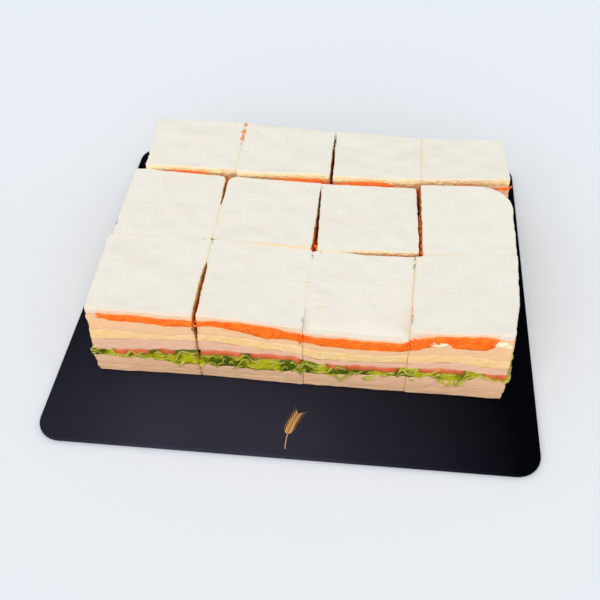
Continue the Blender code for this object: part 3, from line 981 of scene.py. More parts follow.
def make_tomato_material():
    material, tree, shader = new_material("ripe tomato")
    uneven = place_group(tree, mottle, Size=120.0, Sharpness=0.2)
    flesh = mix_colour(tree, uneven.outputs["Mask"], TOMATO_FLESH, TOMATO_PALE)
    skinned = mix_colour(tree, read_attribute(tree, "skin"), flesh, TOMATO_SKIN)
    join(tree, skinned, shader.inputs["Base Color"])
    join(tree, spread(tree, uneven.outputs["Fine"], 0.3, 0.7, 0.22, 0.40), shader.inputs["Roughness"])
    shader.inputs["Subsurface Weight"].default_value = 0.3
    shader.inputs["Subsurface Radius"].default_value = (0.003, 0.0008, 0.0005)
    add_bump(tree, shader, uneven.outputs["Fine"], 0.3, 0.3 * MM)
    return material


tomato_material = make_tomato_material()
for square in squares:
    square.discs = lay_tomato(square)
    covered = np.zeros(len(square.line))
    for centre, radius in square.discs:
        covered = np.maximum(covered, np.linalg.norm(square.line - centre, axis=1) < radius)
    square.covered = soften(covered, 2)
    slices = []
    for number in range(len(square.discs)):
        rings, attributes = tomato_slice(square, number)
        slices.append(closed_mesh("tomato", rings, attributes))
    mesh = merge_meshes("tomato", slices)
    serve(new_piece(f"tomato_{square.name}", mesh, tomato_material), square)


# The lettuce
# Torn leaves of soft green lettuce, washed and laid in two or three folds under the tomato. Their
# ruffled edges stick out of the cuts and hang over the bread, pale along the ribs. Towards their
# outer edges the leaves are painted lighter and paler, a painted highlight, and further in darker.

LEAF_GREEN = (0.450, 0.440, 0.008, 1.0)
LEAF_DARK = (0.070, 0.100, 0.001, 1.0)
LEAF_PALE_AND_HIGHLIGHT = (0.680, 0.620, 0.140, 1.0)
LEAF_THICKNESS = 0.7 * MM
LEAF_DEPTH = 7.0 * MM
LEAF_ROWS = 10
FRILL_POINTS = 560
FRILL_LENGTH = 11.0 * MM
RIB_LENGTH = 6.5 * MM
FRILLS = (
    # height in the layer, ruffle height, how far it stands out, how far it hangs, how far it rises
    (0.22, 2.0, 0.9, 1.0, 0.0),
    (0.50, 2.5, 0.5, 0.5, 0.5),
    (0.80, 1.8, 0.2, 0.0, 1.0),
)
HANGING = 4.5 * MM
HEART_OUT = -1.8 * MM
HEART_RIPPLE = (1.4 * MM, 6.0 * MM)

# Where a leaf rises in front of the tomato and where it hangs on the slab's front face, in x, and
# how wide each place is, in millimetres.
RISES = ((-122.0, 2.5), (-99.6, 2.5), (-86.0, 6.0), (-66.0, 5.0), (-28.0, 3.0), (12.0, 7.0), (28.0, 4.0),
         (71.0, 4.0), (89.0, 3.0), (107.0, 3.0), (131.0, 2.0))
HANGS = ((-69.0, 3.0), (-56.0, 2.5), (-35.0, 3.0), (6.5, 2.5), (30.0, 4.0), (46.0, 5.0), (73.0, 2.5),
         (97.0, 8.0))


def at_more_points(values, count):
    """Values at the outline's points, read at more points round it."""
    wrapped = np.concatenate([values, values[:1]])
    stops = np.linspace(0.0, len(values), count, endpoint=False)
    columns = wrapped.reshape(len(wrapped), -1).T
    read = np.stack([np.interp(stops, np.arange(len(wrapped)), column) for column in columns], axis=1)
    return read if values.ndim == 2 else read[:, 0]


def leaf_places(square, places, chosen, seed):
    """Where leaves rise or hang round a square: on the front face as chosen, elsewhere anywhere."""
    anywhere = np.clip(3.2 * waves(places, 13.0 * MM, seed), 0.0, 1.0)
    if square.row != "front":
        return anywhere
    shown = np.zeros(len(places))
    for centre, width in chosen:
        shown = np.maximum(shown, np.exp(-((places[:, 0] / MM - centre) / width) ** 2))
    near = np.exp(-(np.maximum(places[:, 1] - square.line[:, 1].min() - FRONT_REACH, 0.0) / (4 * MM)) ** 2)
    return anywhere * (1 - near) + shown * near


def frill(square, number):
    """One leaf's edge round the square: a thin wavy sheet, flat inside and ruffled where it shows."""
    rise, ruffle, proud, hang, climb = FRILLS[number]
    seed = square.seed + 70.0 + 3.0 * number
    line, out, room, covered = (at_more_points(values, FRILL_POINTS)
                                for values in (square.line, square.out, square.room, square.covered))
    low = at_more_points(level(square, "greens_low", square.line), FRILL_POINTS)
    high = at_more_points(level(square, "greens_high", square.line), FRILL_POINTS)
    lifted = leaf_places(square, line, RISES, seed + 20.0)
    hung = leaf_places(square, line, HANGS, seed + 30.0) * hang
    ceiling = high - covered * (1 - lifted * climb) * (TOMATO_THICKNESS - 0.4 * MM)
    ceiling = np.maximum(ceiling, low + 0.6 * MM)
    depth = ceiling - low
    perimeter = np.linalg.norm(np.diff(square.line, axis=0), axis=1).sum()
    walked = np.linspace(0.0, 2 * math.pi, FRILL_POINTS, endpoint=False)
    phase = walked * round(perimeter / FRILL_LENGTH) + 8.0 * waves(line, 12.0 * MM, seed)
    rib_phase = walked * round(perimeter / RIB_LENGTH) / 2 + 5.0 * waves(line, 9.0 * MM, seed + 1.0)
    uneven = 1.0 + 1.2 * waves(line, 14.0 * MM, seed + 2.0)
    height_wave = np.minimum(ruffle * MM, 0.45 * depth + 0.3 * MM) * uneven
    rows, shares, ribs = [], [], []
    for row in range(LEAF_ROWS):
        share = row / (LEAF_ROWS - 1)
        reach = proud * MM + lifted * climb * 0.5 * MM + 1.8 * MM * waves(line, 8.0 * MM, seed + 4.0)
        reach *= share
        reach += 0.6 * ruffle * MM * share ** 2 * np.cos(phase + 0.8) - LEAF_DEPTH * (1 - share)
        push = np.minimum(reach, room - 0.1 * MM)
        height = low + depth * (rise + (0.85 - rise) * lifted * climb * share)
        height += height_wave * share ** 1.4 * np.sin(phase + 1.9 * share)
        height += 0.2 * height_wave * share ** 2 * np.sin(2.3 * phase + 1.0)
        height -= hung * HANGING * share ** 3
        outside = np.clip(push / MM, 0.0, 1.0) + hung * share
        floor = low - 0.3 * MM - 5.0 * MM * np.clip(outside, 0.0, 1.0)
        rows.append(with_height(line + out * push[:, None], np.clip(height, floor, ceiling - 0.1 * MM)))
        shares.append(np.full(FRILL_POINTS, share))
        ribs.append(1 - ease(np.abs(np.sin(rib_phase + 0.5 * share)), 0.04, 0.22))
    return np.array(rows), {"edge": np.array(shares), "rib": np.array(ribs)}


def evaluated_mesh(thing):
    """The plain mesh that an object's modifiers give."""
    depsgraph = bpy.context.evaluated_depsgraph_get()
    depsgraph.update()
    return bpy.data.meshes.new_from_object(thing.evaluated_get(depsgraph), preserve_all_data_layers=True,
                                           depsgraph=depsgraph)


def sheet_mesh(name, rows, attributes, thickness):
    """A closed band of sheet through rows of points, given a thickness, both faces alike."""
    count = rows.shape[1]
    here = np.arange(count)
    after = (here + 1) % count
    faces = []
    for row in range(len(rows) - 1):
        base, above = row * count, (row + 1) * count
        faces += np.stack([base + here, base + after, above + after, above + here], axis=1).tolist()
    mesh = bpy.data.meshes.new(name)
    mesh.from_pydata(rows.reshape(-1, 3).tolist(), [], faces)
    for label, values in attributes.items():
        marks = mesh.attributes.new(label, "FLOAT", "POINT").data
        marks.foreach_set("value", values.ravel().astype(np.float32))
    sheet = bpy.data.objects.new(name, mesh)
    bpy.context.scene.collection.objects.link(sheet)
    wall = sheet.modifiers.new("thickness", "SOLIDIFY")
    wall.thickness = thickness
    wall.offset = 0.0
    done = evaluated_mesh(sheet)
    bpy.data.objects.remove(sheet)
    done.shade_smooth()
    return done


def make_leaf_material():
    material, tree, shader = new_material("lettuce leaf")
    uneven = place_group(tree, mottle, Size=85.0, Sharpness=0.07)
    edge = read_attribute(tree, "edge")
    green = mix_colour(tree, uneven.outputs["Mask"], LEAF_DARK, LEAF_GREEN)
    # Painted highlight: towards its outer edge the leaf is painted lighter and paler, where the ruffles catch
    # the light.
    lit = mix_colour(tree, spread(tree, edge, 0.45, 1.0, 0.0, 0.30), green, LEAF_GREEN)
    fading = spread(tree, uneven.outputs["Fine"], 0.38, 0.60, 0.2, 1.0)
    lit = mix_colour(tree, spread(tree, edge, 0.60, 1.0, 0.0, 0.40), lit, LEAF_PALE_AND_HIGHLIGHT)
    veined = mix_colour(tree, multiply(tree, read_attribute(tree, "rib"), fading), lit, LEAF_PALE_AND_HIGHLIGHT)
    join(tree, veined, shader.inputs["Base Color"])
    join(tree, spread(tree, uneven.outputs["Fine"], 0.3, 0.7, 0.30, 0.5), shader.inputs["Roughness"])
    shader.inputs["Subsurface Weight"].default_value = 0.2
    shader.inputs["Subsurface Radius"].default_value = (0.0008, 0.0012, 0.0003)
    shader.inputs["Specular IOR Level"].default_value = 0.25
    add_bump(tree, shader, uneven.outputs["Fine"], 0.3, 0.3 * MM)
    return material


leaf_material = make_leaf_material()
for square in squares:
    low = level(square, "greens_low", square.line)
    high = level(square, "greens_high", square.line) - square.covered * (TOMATO_THICKNESS - 1.0 * MM)
    heart = layer_rings(square, low, np.maximum(high, low), HEART_OUT, THIN_ROWS, square.seed + 65.0,
                        *HEART_RIPPLE)
    flat = np.zeros(heart.shape[:2])
    leaves = [closed_mesh("heart", heart, {"edge": flat, "rib": flat})]
    for number in range(len(FRILLS)):
        rows, attributes = frill(square, number)
        leaves.append(sheet_mesh("leaf", rows, attributes, LEAF_THICKNESS))
    mesh = merge_meshes("lettuce", leaves)
    serve(new_piece(f"lettuce_{square.name}", mesh, leaf_material), square)


# The egg
# Boiled egg, chopped and bound with mayonnaise into a pale yellow paste. Bits of white and yolk
# stand out of the cut, with small patches between them painted darker and deeper yellow, a
# painted shade standing for pits.

EGG_PASTE = (0.915, 0.600, 0.250, 1.0)
EGG_HOLLOW_SHADE = (0.800, 0.400, 0.070, 1.0)
EGG_WHITE = (0.915, 0.640, 0.350, 1.0)
YOLK_YELLOW = (0.920, 0.560, 0.130, 1.0)
MAYONNAISE = (0.930, 0.790, 0.530, 1.0)
EGG_BIT = 1.0 * MM
EGG_BITS = 60000.0
EGG_RIPPLE = (0.6 * MM, 3.5 * MM)
THICK_ROWS = 8
SHOWN_ROWS = (3, 7)


def make_press_in_tree():
    """Things strewn over the shown faces of a core and pressed into them, each lying along the cut,
    turned and sized at random. The core is kept, and all is made plain mesh at the end."""
    group, given, result = new_group(
        "pressed into a cut", "GeometryNodeTree",
        [("Core", "NodeSocketGeometry", None), ("Thing", "NodeSocketObject", None),
         ("Density", "NodeSocketFloat", 1000.0), ("Smallest", "NodeSocketFloat", 0.7),
         ("Largest", "NodeSocketFloat", 1.3), ("Slant", "NodeSocketFloat", 0.5),
         ("Sink", "NodeSocketFloat", 0.0002), ("Seed", "NodeSocketInt", 1),
         ("Finish", "NodeSocketMaterial", None)],
        [("Pressed", "NodeSocketGeometry")])
    shown = add_node(group, "GeometryNodeInputNamedAttribute", {"Name": "shown"}, data_type="FLOAT")
    scatter = add_node(group, "GeometryNodeDistributePointsOnFaces", distribute_method="RANDOM")
    normal = add_node(group, "GeometryNodeInputNormal")
    keep_normal = add_node(group, "GeometryNodeCaptureAttribute", domain="FACE")
    keep_normal.capture_items.new("VECTOR", "Normal")
    across = add_node(group, "ShaderNodeVectorMath", {1: (0.0, 0.0, 1.0)}, operation="CROSS_PRODUCT")
    stand = add_node(group, "FunctionNodeAlignRotationToVector", axis="Z")
    lay = add_node(group, "FunctionNodeAlignRotationToVector", axis="X", pivot_axis="Z")
    low = add_node(group, "ShaderNodeMath", {1: -1.0}, operation="MULTIPLY")
    slant = add_node(group, "FunctionNodeRandomValue", data_type="FLOAT")
    spin = add_node(group, "ShaderNodeCombineXYZ")
    turned = add_node(group, "FunctionNodeRotateRotation", rotation_space="LOCAL")
    size = add_node(group, "FunctionNodeRandomValue", data_type="FLOAT")
    thing = add_node(group, "GeometryNodeObjectInfo")
    instance = add_node(group, "GeometryNodeInstanceOnPoints")
    depth = add_node(group, "ShaderNodeMath", {1: -1.0}, operation="MULTIPLY")
    inward = add_node(group, "ShaderNodeVectorMath", operation="SCALE")
    sink = add_node(group, "GeometryNodeSetPosition")
    real = add_node(group, "GeometryNodeRealizeInstances")
    gather = add_node(group, "GeometryNodeJoinGeometry")
    paint = add_node(group, "GeometryNodeSetMaterial")
    join(group, given.outputs["Core"], keep_normal.inputs["Geometry"])
    join(group, normal.outputs[0], keep_normal.inputs["Normal"])
    join(group, keep_normal.outputs["Geometry"], scatter.inputs["Mesh"])
    join(group, shown.outputs["Attribute"], scatter.inputs["Selection"])
    join(group, given.outputs["Density"], scatter.inputs["Density"])
    join(group, given.outputs["Seed"], scatter.inputs["Seed"])
    join(group, keep_normal.outputs["Normal"], across.inputs[0])
    join(group, keep_normal.outputs["Normal"], stand.inputs["Vector"])
    join(group, stand.outputs[0], lay.inputs["Rotation"])
    join(group, across.outputs[0], lay.inputs["Vector"])
    join(group, given.outputs["Slant"], low.inputs[0])
    join(group, low.outputs[0], slant.inputs["Min"])
    join(group, given.outputs["Slant"], slant.inputs["Max"])
    join(group, given.outputs["Seed"], slant.inputs["Seed"])
    join(group, slant.outputs["Value"], spin.inputs["Z"])
    join(group, lay.outputs[0], turned.inputs["Rotation"])
    join(group, spin.outputs[0], turned.inputs["Rotate By"])
    join(group, given.outputs["Smallest"], size.inputs["Min"])
    join(group, given.outputs["Largest"], size.inputs["Max"])
    join(group, given.outputs["Seed"], size.inputs["Seed"])
    join(group, given.outputs["Sink"], depth.inputs[0])
    join(group, keep_normal.outputs["Normal"], inward.inputs[0])
    join(group, depth.outputs[0], inward.inputs["Scale"])
    join(group, scatter.outputs["Points"], sink.inputs["Geometry"])
    join(group, inward.outputs[0], sink.inputs["Offset"])
    join(group, sink.outputs[0], instance.inputs["Points"])
    join(group, given.outputs["Thing"], thing.inputs["Object"])
    join(group, thing.outputs["Geometry"], instance.inputs["Instance"])
    join(group, turned.outputs[0], instance.inputs["Rotation"])
    join(group, size.outputs["Value"], instance.inputs["Scale"])
    join(group, instance.outputs[0], gather.inputs[0])
    join(group, given.outputs["Core"], gather.inputs[0])
    join(group, gather.outputs[0], real.inputs[0])
    join(group, real.outputs[0], paint.inputs["Geometry"])
    join(group, given.outputs["Finish"], paint.inputs["Material"])
    join(group, paint.outputs[0], result.inputs[0])
    return group


press_in = make_press_in_tree()


def grow(mesh, tree, **values):
    """A mesh run through a Geometry Nodes tree with these inputs, as a plain mesh."""
    carrier = bpy.data.objects.new("carrier", mesh)
    bpy.context.scene.collection.objects.link(carrier)
    modifier = carrier.modifiers.new("tree", "NODES")
    modifier.node_group = tree
    for item in tree.interface.items_tree:
        label = item.name.replace(" ", "_")
        if item.in_out == "INPUT" and label in values:
            modifier[item.identifier] = values[label]
    grown = evaluated_mesh(carrier)
    bpy.data.objects.remove(carrier)
    return grown


def lump(name, size, seed, squash=0.8, roundness=1):
    """A small uneven lump of few faces, as an object to strew."""
    bpy.ops.mesh.primitive_ico_sphere_add(subdivisions=roundness, radius=size / 2)
    thing = bpy.context.object
    thing.name = name
    for v in thing.data.vertices:
        v.co *= 1.0 + 0.7 * noise.noise(v.co.normalized() * 1.3 + Vector((seed, 0.0, 0.0)))
        v.co.z *= squash
    thing.data.shade_smooth()
    mark = thing.data.attributes.new("kind", "FLOAT", "POINT")
    mark.data.foreach_set("value", np.full(len(thing.data.vertices), seed, np.float32))
    return thing


def shown_rows(rings, rows):
    """Marks the rows of a layer whose faces show on the cut."""
    mask = np.zeros(rings.shape[:2])
    mask[rows[0]:rows[1]] = 1.0
    return mask


def make_egg_material():
    material, tree, shader = new_material("egg and mayonnaise")
    uneven = place_group(tree, mottle, Size=120.0, Sharpness=0.14)
    kind = read_attribute(tree, "kind")
    paste = mix_colour(tree, uneven.outputs["Mask"], EGG_PASTE, EGG_WHITE)
    # Painted shade: small patches picked by fine noise are painted darker and deeper yellow, standing for
    # shaded pits in the paste.
    hollow_shade = spread(tree, uneven.outputs["Fine"], 0.36, 0.41, 0.85, 0.0)
    pitted = mix_colour(tree, hollow_shade, paste, EGG_HOLLOW_SHADE)
    yolk = mix_colour(tree, spread(tree, kind, 1.5, 1.6), pitted, YOLK_YELLOW)
    white = mix_colour(tree, spread(tree, kind, 2.5, 2.6), yolk, EGG_WHITE)
    dab = mix_colour(tree, spread(tree, kind, 10.0, 11.0), white, MAYONNAISE)
    join(tree, dab, shader.inputs["Base Color"])
    shader.inputs["Roughness"].default_value = 0.5
    shader.inputs["Subsurface Weight"].default_value = 0.25
    shader.inputs["Subsurface Radius"].default_value = (0.003, 0.002, 0.001)
    add_bump(tree, shader, uneven.outputs["Fine"], 0.5, 0.5 * MM)
    return material


egg_material = make_egg_material()
yolk_bit = lump("yolk_bit", EGG_BIT, 2.0)
white_bit = lump("white_bit", EGG_BIT * 1.3, 3.0)
for square in squares:
    rings = layer_rings(square, *boundaries(square, "egg"), 0.0, THICK_ROWS, square.seed + 90.0, *EGG_RIPPLE)
    marks = {"shown": shown_rows(rings, SHOWN_ROWS), "kind": np.ones(rings.shape[:2])}
    mesh = closed_mesh("egg", rings, marks)
    seed = int(square.seed * 10)
    for thing, count, step in ((yolk_bit, 0.4, 1), (white_bit, 0.5, 2)):
        mesh = grow(mesh, press_in, Thing=thing, Density=EGG_BITS * count, Smallest=0.5, Largest=1.2,
                    Slant=3.1, Sink=0.3 * MM, Seed=seed + step, Finish=egg_material)
    serve(new_piece(f"egg_{square.name}", mesh, egg_material), square)
for thing in (yolk_bit, white_bit):
    bpy.data.objects.remove(thing)


# The carrot
# Raw carrot grated in coarse shreds, moist and heaped thickly, so that the knife leaves a ragged
# band of shred sides and cut ends that spills a little over the bread below.

CARROT_BRIGHT = (1.000, 0.150, 0.003, 1.0)
CARROT_DEEP = (0.860, 0.080, 0.002, 1.0)
CARROT_LIGHT = (1.000, 0.230, 0.016, 1.0)
PULP_AND_SHADE_BROWN = (0.450, 0.150, 0.025, 1.0)
CARROT_FADED = (0.860, 0.330, 0.130, 1.0)
CARROT_SHADED = (0.740, 0.160, 0.012, 1.0)
SHRED_LENGTH = 6.5 * MM
SHRED_WIDTH = 1.5 * MM
SHRED_THICKNESS = 1.0 * MM
SHRED_BEND = 0.9 * MM
SHRED_STEPS = 5
SHREDS = 130000.0
CARROT_OUT = 0.1 * MM
OUTER_SINK = 0.8 * MM
CARROT_RIPPLE = (0.9 * MM, 4.0 * MM)


def make_shred():
    """One shred: a short bent strip with blunt ends, as an object to strew."""
    curve = bpy.data.curves.new("shred", "CURVE")
    curve.dimensions = "3D"
    spline = curve.splines.new("POLY")
    spline.points.add(SHRED_STEPS - 1)
    for step, point in enumerate(spline.points):
        share = step / (SHRED_STEPS - 1) - 0.5
        point.co = (share * SHRED_LENGTH, SHRED_BEND * (1 - 4 * share ** 2), -0.3 * SHRED_BEND * share, 1.0)
    curve.bevel_depth = SHRED_WIDTH / 2
    curve.bevel_resolution = 0
    curve.use_fill_caps = True
    thing = bpy.data.objects.new("shred", curve)
    bpy.context.scene.collection.objects.link(thing)
    mesh = evaluated_mesh(thing)
    bpy.data.objects.remove(thing)
    for v in mesh.vertices:
        v.co.z *= SHRED_THICKNESS / SHRED_WIDTH
    mesh.materials.clear()
    shred = bpy.data.objects.new("shred", mesh)
    bpy.context.scene.collection.objects.link(shred)
    return shred


def make_carrot_material():
    material, tree, shader = new_material("grated carrot")
    uneven = place_group(tree, mottle, Size=210.0, Sharpness=0.16)
    place = add_node(tree, "ShaderNodeTexCoord")
    stretch = add_node(tree, "ShaderNodeMapping", {"Scale": (1.0, 1.0, 3.5)})
    fibres = add_node(tree, "ShaderNodeTexNoise", {"Scale": 520.0, "Detail": 3.0})
    join(tree, place.outputs["Object"], stretch.inputs["Vector"])
    join(tree, stretch.outputs["Vector"], fibres.inputs["Vector"])
    body = mix_colour(tree, uneven.outputs["Mask"], CARROT_BRIGHT, CARROT_LIGHT)
    deep = mix_colour(tree, spread(tree, fibres.outputs["Fac"], 0.38, 0.50, 0.5, 0.0), body, CARROT_DEEP)
    kind = read_attribute(tree, "kind")
    # Partly pulp and partly painted shade: the lumps down the open front seam are dark brown.
    pulp = mix_colour(tree, spread(tree, kind, 15.0, 16.0), deep, PULP_AND_SHADE_BROWN)
    shaded = mix_colour(tree, spread(tree, kind, 30.0, 31.0), pulp, CARROT_SHADED)
    faded = mix_colour(tree, spread(tree, kind, 40.0, 41.0), shaded, CARROT_FADED)
    join(tree, faded, shader.inputs["Base Color"])
    join(tree, spread(tree, fibres.outputs["Fac"], 0.3, 0.7, 0.34, 0.55), shader.inputs["Roughness"])
    shader.inputs["Subsurface Weight"].default_value = 0.25
    shader.inputs["Subsurface Radius"].default_value = (0.003, 0.001, 0.0005)
    shader.inputs["Specular IOR Level"].default_value = 0.3
    add_bump(tree, shader, fibres.outputs["Fac"], 0.4, 0.3 * MM)
    return material


carrot_material = make_carrot_material()
shred = make_shred()
for square in squares:
    outer = ease(np.abs(square.out[:, 0]), *OUTER_FACING) * (1 - square.near)
    rings = layer_rings(square, *boundaries(square, "carrot"), CARROT_OUT - OUTER_SINK * outer, THICK_ROWS,
                        square.seed + 110.0, *CARROT_RIPPLE, squeezed=1.0)
    mesh = closed_mesh("carrot", rings, {"shown": shown_rows(rings, SHOWN_ROWS)})
    mesh = grow(mesh, press_in, Thing=shred, Density=SHREDS, Smallest=0.6, Largest=1.15, Slant=0.55,
                Sink=0.45 * MM, Seed=int(square.seed * 10) + 5, Finish=carrot_material)
    serve(new_piece(f"carrot_{square.name}", mesh, carrot_material), square)
bpy.data.objects.remove(shred)


# The stray carrot
# Bits of carrot that the knife dragged out: ends of shreds left in the mouths of the cuts, a knot
# of them hanging at the front, and dark brown lumps down one open seam of the front face, partly
# pulp and juice and partly painted shade in the cut.

STRAY_BITS = (
    # place in x, y and height above the board, then length in x, y and height, in millimetres
    (-55.4, 93.0, 59.4, 1.4, 3.0, 1.6), (-55.3, 86.6, 59.5, 1.8, 3.0, 1.6),
    (-54.8, 76.0, 59.6, 1.0, 3.2, 1.4), (70.6, -97.0, 49.0, 3.6, 2.6, 3.2),
    (71.8, -97.5, 46.4, 3.0, 2.0, 3.4), (70.0, -97.3, 43.6, 2.2, 1.8, 3.6),
    (72.8, -97.0, 50.6, 3.2, 2.2, 1.8), (74.6, -97.6, 48.2, 3.4, 1.8, 1.6),
    (70.3, -95.0, 54.0, 1.0, 4.0, 2.6), (70.2, -90.5, 55.4, 0.8, 5.5, 2.2),
    (70.3, -84.5, 56.4, 0.7, 5.0, 1.8), (70.4, -79.0, 57.0, 0.5, 4.0, 1.2),
    (76.0, -26.8, 55.4, 2.0, 4.0, 2.0), (75.4, -20.0, 55.2, 1.6, 3.6, 2.0),
    (56.0, 41.4, 56.2, 3.0, 1.2, 1.2), (8.2, -26.0, 55.6, 2.0, 3.0, 1.8),
)
FADED_BITS = (
    (-55.5, 101.0, 59.2, 3.0, 5.2, 2.0), (-55.4, 92.0, 59.3, 3.6, 6.4, 2.2),
    (-55.2, 83.0, 59.4, 3.0, 6.0, 2.0),
)
CUT_BITS = (
    (9.6, -27.5, 54.6, 3.2, 6.0, 3.0), (10.0, -22.0, 54.4, 2.9, 6.4, 3.0),
    (10.3, -16.0, 54.2, 2.6, 6.4, 3.0), (10.6, -10.0, 54.0, 2.3, 6.4, 3.0),
    (10.9, -4.0, 53.6, 2.0, 6.4, 3.0), (75.8, -25.0, 54.8, 2.2, 6.4, 3.0),
    (75.5, -18.5, 54.6, 2.2, 6.8, 3.0), (75.2, -11.5, 54.4, 2.2, 6.8, 3.0),
    (74.8, -4.5, 54.2, 2.2, 6.8, 3.0), (74.4, 2.5, 54.0, 2.1, 6.8, 3.0),
    (74.0, 10.0, 53.6, 2.0, 6.8, 3.0),
)
# Dark brown lumps in the mouth of the open cut between front_1 and front_2: partly pulp and juice, partly
# painted shade.
DARK_SEAM_LUMPS = (
    (-58.3, -96.2, 49.0, 2.0, 1.6, 4.0), (-59.0, -96.4, 46.2, 2.6, 1.4, 3.2),
    (-57.9, -96.2, 41.0, 0.9, 1.0, 5.0), (-57.4, -96.2, 35.0, 0.8, 1.0, 6.0),
    (-57.6, -96.3, 29.5, 0.8, 1.0, 5.0), (-58.2, -96.6, 24.0, 2.4, 1.4, 4.4),
    (-57.5, -96.7, 20.6, 2.0, 1.2, 3.2),
)
STRAY_SEED = 4.0
DARK_SEAM_SEED = 20.0
CUT_SEED = 31.0
FADED_SEED = 50.0


def strew(rows, seed, roundness=1):
    """Uneven lumps, each at its place and drawn out to its lengths."""
    meshes = []
    for number, (x, y, height, *lengths) in enumerate(rows):
        bit = lump("bit", 1.0 * MM, seed + 0.37 * number, squash=1.0, roundness=roundness)
        bit.data.transform(Matrix.Diagonal((*lengths, 1.0)))
        bit.data.transform(Matrix.Translation((x * MM, y * MM, board_top + height * MM)))
        meshes.append(bit.data)
        bpy.data.objects.remove(bit)
    return meshes


bits = strew(STRAY_BITS, STRAY_SEED) + strew(DARK_SEAM_LUMPS, DARK_SEAM_SEED, 2)
bits += strew(CUT_BITS, CUT_SEED, 2) + strew(FADED_BITS, FADED_SEED, 2)
serve(new_piece("carrot_bits", merge_meshes("bits", bits), carrot_material))


# The mayonnaise
# Two dabs of the mayonnaise that binds the egg, pushed out beside the carrot at the slab's front
# and wiped flat along the cut by the knife. The one at the right is two lumps.

DABS = (
    (87.0, -97.2, 47.3, 11.0, 1.6, 3.4),
    (123.4, -96.6, 50.2, 8.5, 1.5, 4.6), (127.0, -96.3, 48.2, 4.0, 1.2, 3.0),
)
DAB_SEED = 40.0

dabs = merge_meshes("dabs", strew(DABS, DAB_SEED, roundness=3))
serve(new_piece("mayonnaise_dabs", dabs, egg_material))


# The sprig
# A small ear of wheat printed on the board in gold foil, in front of the slab. It is a plain
# stand-in drawing: a stem, pairs of grains up both its sides, and fine awns.

FOIL_GOLD = (0.830, 0.620, 0.300, 1.0)
FOIL_LIFT = 0.05 * MM
FOIL_THICKNESS = 0.08 * MM
SPRIG_MIDDLE = (4.2, -130.2)
SPRIG_LENGTH = 30.0
SPRIG_BOW = 2.2
SPRIG_TURN = math.radians(78)
STEM_WIDTH = 0.55
GRAIN_LENGTH = 4.2
GRAIN_WIDTH = 1.5
GRAIN_PAIRS = 8
GRAIN_SLANT = 0.62
AWN_LENGTH = 3.2
AWN_WIDTH = 0.25


def flat_shape(name, outline):
    """A thin flat plate with an outline in plan, in millimetres, its underside at height nought."""
    count = len(outline)
    points = [(x * MM, y * MM, z) for z in (0.0, FOIL_THICKNESS) for x, y in outline]
    faces = [tuple(range(count))[::-1], tuple(range(count, 2 * count))]
    faces += [(i, (i + 1) % count, count + (i + 1) % count, count + i) for i in range(count)]
    mesh = bpy.data.meshes.new(name)
    mesh.from_pydata(points, [], faces)
    shape = bpy.data.objects.new(name, mesh)
    bpy.context.scene.collection.objects.link(shape)
    return shape


def make_ear_tree():
    """Grains in pairs along a stem, each turned out to its own side, then the stem itself."""
    group, given, result = new_group(
        "ear of wheat", "GeometryNodeTree",
        [("Path", "NodeSocketGeometry", None), ("Grain", "NodeSocketObject", None),
         ("Pairs", "NodeSocketInt", 8), ("Slant", "NodeSocketFloat", 0.5),
         ("Finish", "NodeSocketMaterial", None)],
        [("Ear", "NodeSocketGeometry")])
    curve = add_node(group, "GeometryNodeMeshToCurve")
    steps = add_node(group, "GeometryNodeCurveToPoints", mode="COUNT")
    grain = add_node(group, "GeometryNodeObjectInfo")
    gather = add_node(group, "GeometryNodeJoinGeometry")
    real = add_node(group, "GeometryNodeRealizeInstances")
    paint = add_node(group, "GeometryNodeSetMaterial")
    join(group, given.outputs["Path"], curve.inputs["Mesh"])
    join(group, curve.outputs[0], steps.inputs["Curve"])
    join(group, given.outputs["Pairs"], steps.inputs["Count"])
    join(group, given.outputs["Grain"], grain.inputs["Object"])
    for side in (-1.0, 1.0):
        out = add_node(group, "FunctionNodeAlignRotationToVector", axis="X", pivot_axis="Z")
        lean = add_node(group, "ShaderNodeMath", {1: side}, operation="MULTIPLY")
        spin = add_node(group, "ShaderNodeCombineXYZ")
        turned = add_node(group, "FunctionNodeRotateRotation", rotation_space="LOCAL")
        place = add_node(group, "GeometryNodeInstanceOnPoints")
        join(group, steps.outputs["Tangent"], out.inputs["Vector"])
        join(group, given.outputs["Slant"], lean.inputs[0])
        join(group, lean.outputs[0], spin.inputs["Z"])
        join(group, out.outputs[0], turned.inputs["Rotation"])
        join(group, spin.outputs[0], turned.inputs["Rotate By"])
        join(group, steps.outputs["Points"], place.inputs["Points"])
        join(group, grain.outputs["Geometry"], place.inputs["Instance"])
        join(group, turned.outputs[0], place.inputs["Rotation"])
        join(group, place.outputs[0], gather.inputs[0])
    join(group, gather.outputs[0], real.inputs[0])
    join(group, real.outputs[0], paint.inputs["Geometry"])
    join(group, given.outputs["Finish"], paint.inputs["Material"])
    join(group, paint.outputs[0], result.inputs[0])
    return group


def make_foil_material():
    material, tree, shader = new_material("gold foil")
    uneven = place_group(tree, mottle, Size=300.0, Sharpness=0.3)
    shader.inputs["Base Color"].default_value = FOIL_GOLD
    shader.inputs["Metallic"].default_value = 1.0
    join(tree, spread(tree, uneven.outputs["Mask"], 0.0, 1.0, 0.28, 0.42), shader.inputs["Roughness"])
    return material


def stem_at(share):
    """A place along the bowed stem, in millimetres from its middle: 0 is its foot, 1 its tip."""
    return (share - 0.5) * SPRIG_LENGTH, SPRIG_BOW * (1 - (2 * share - 1) ** 2)


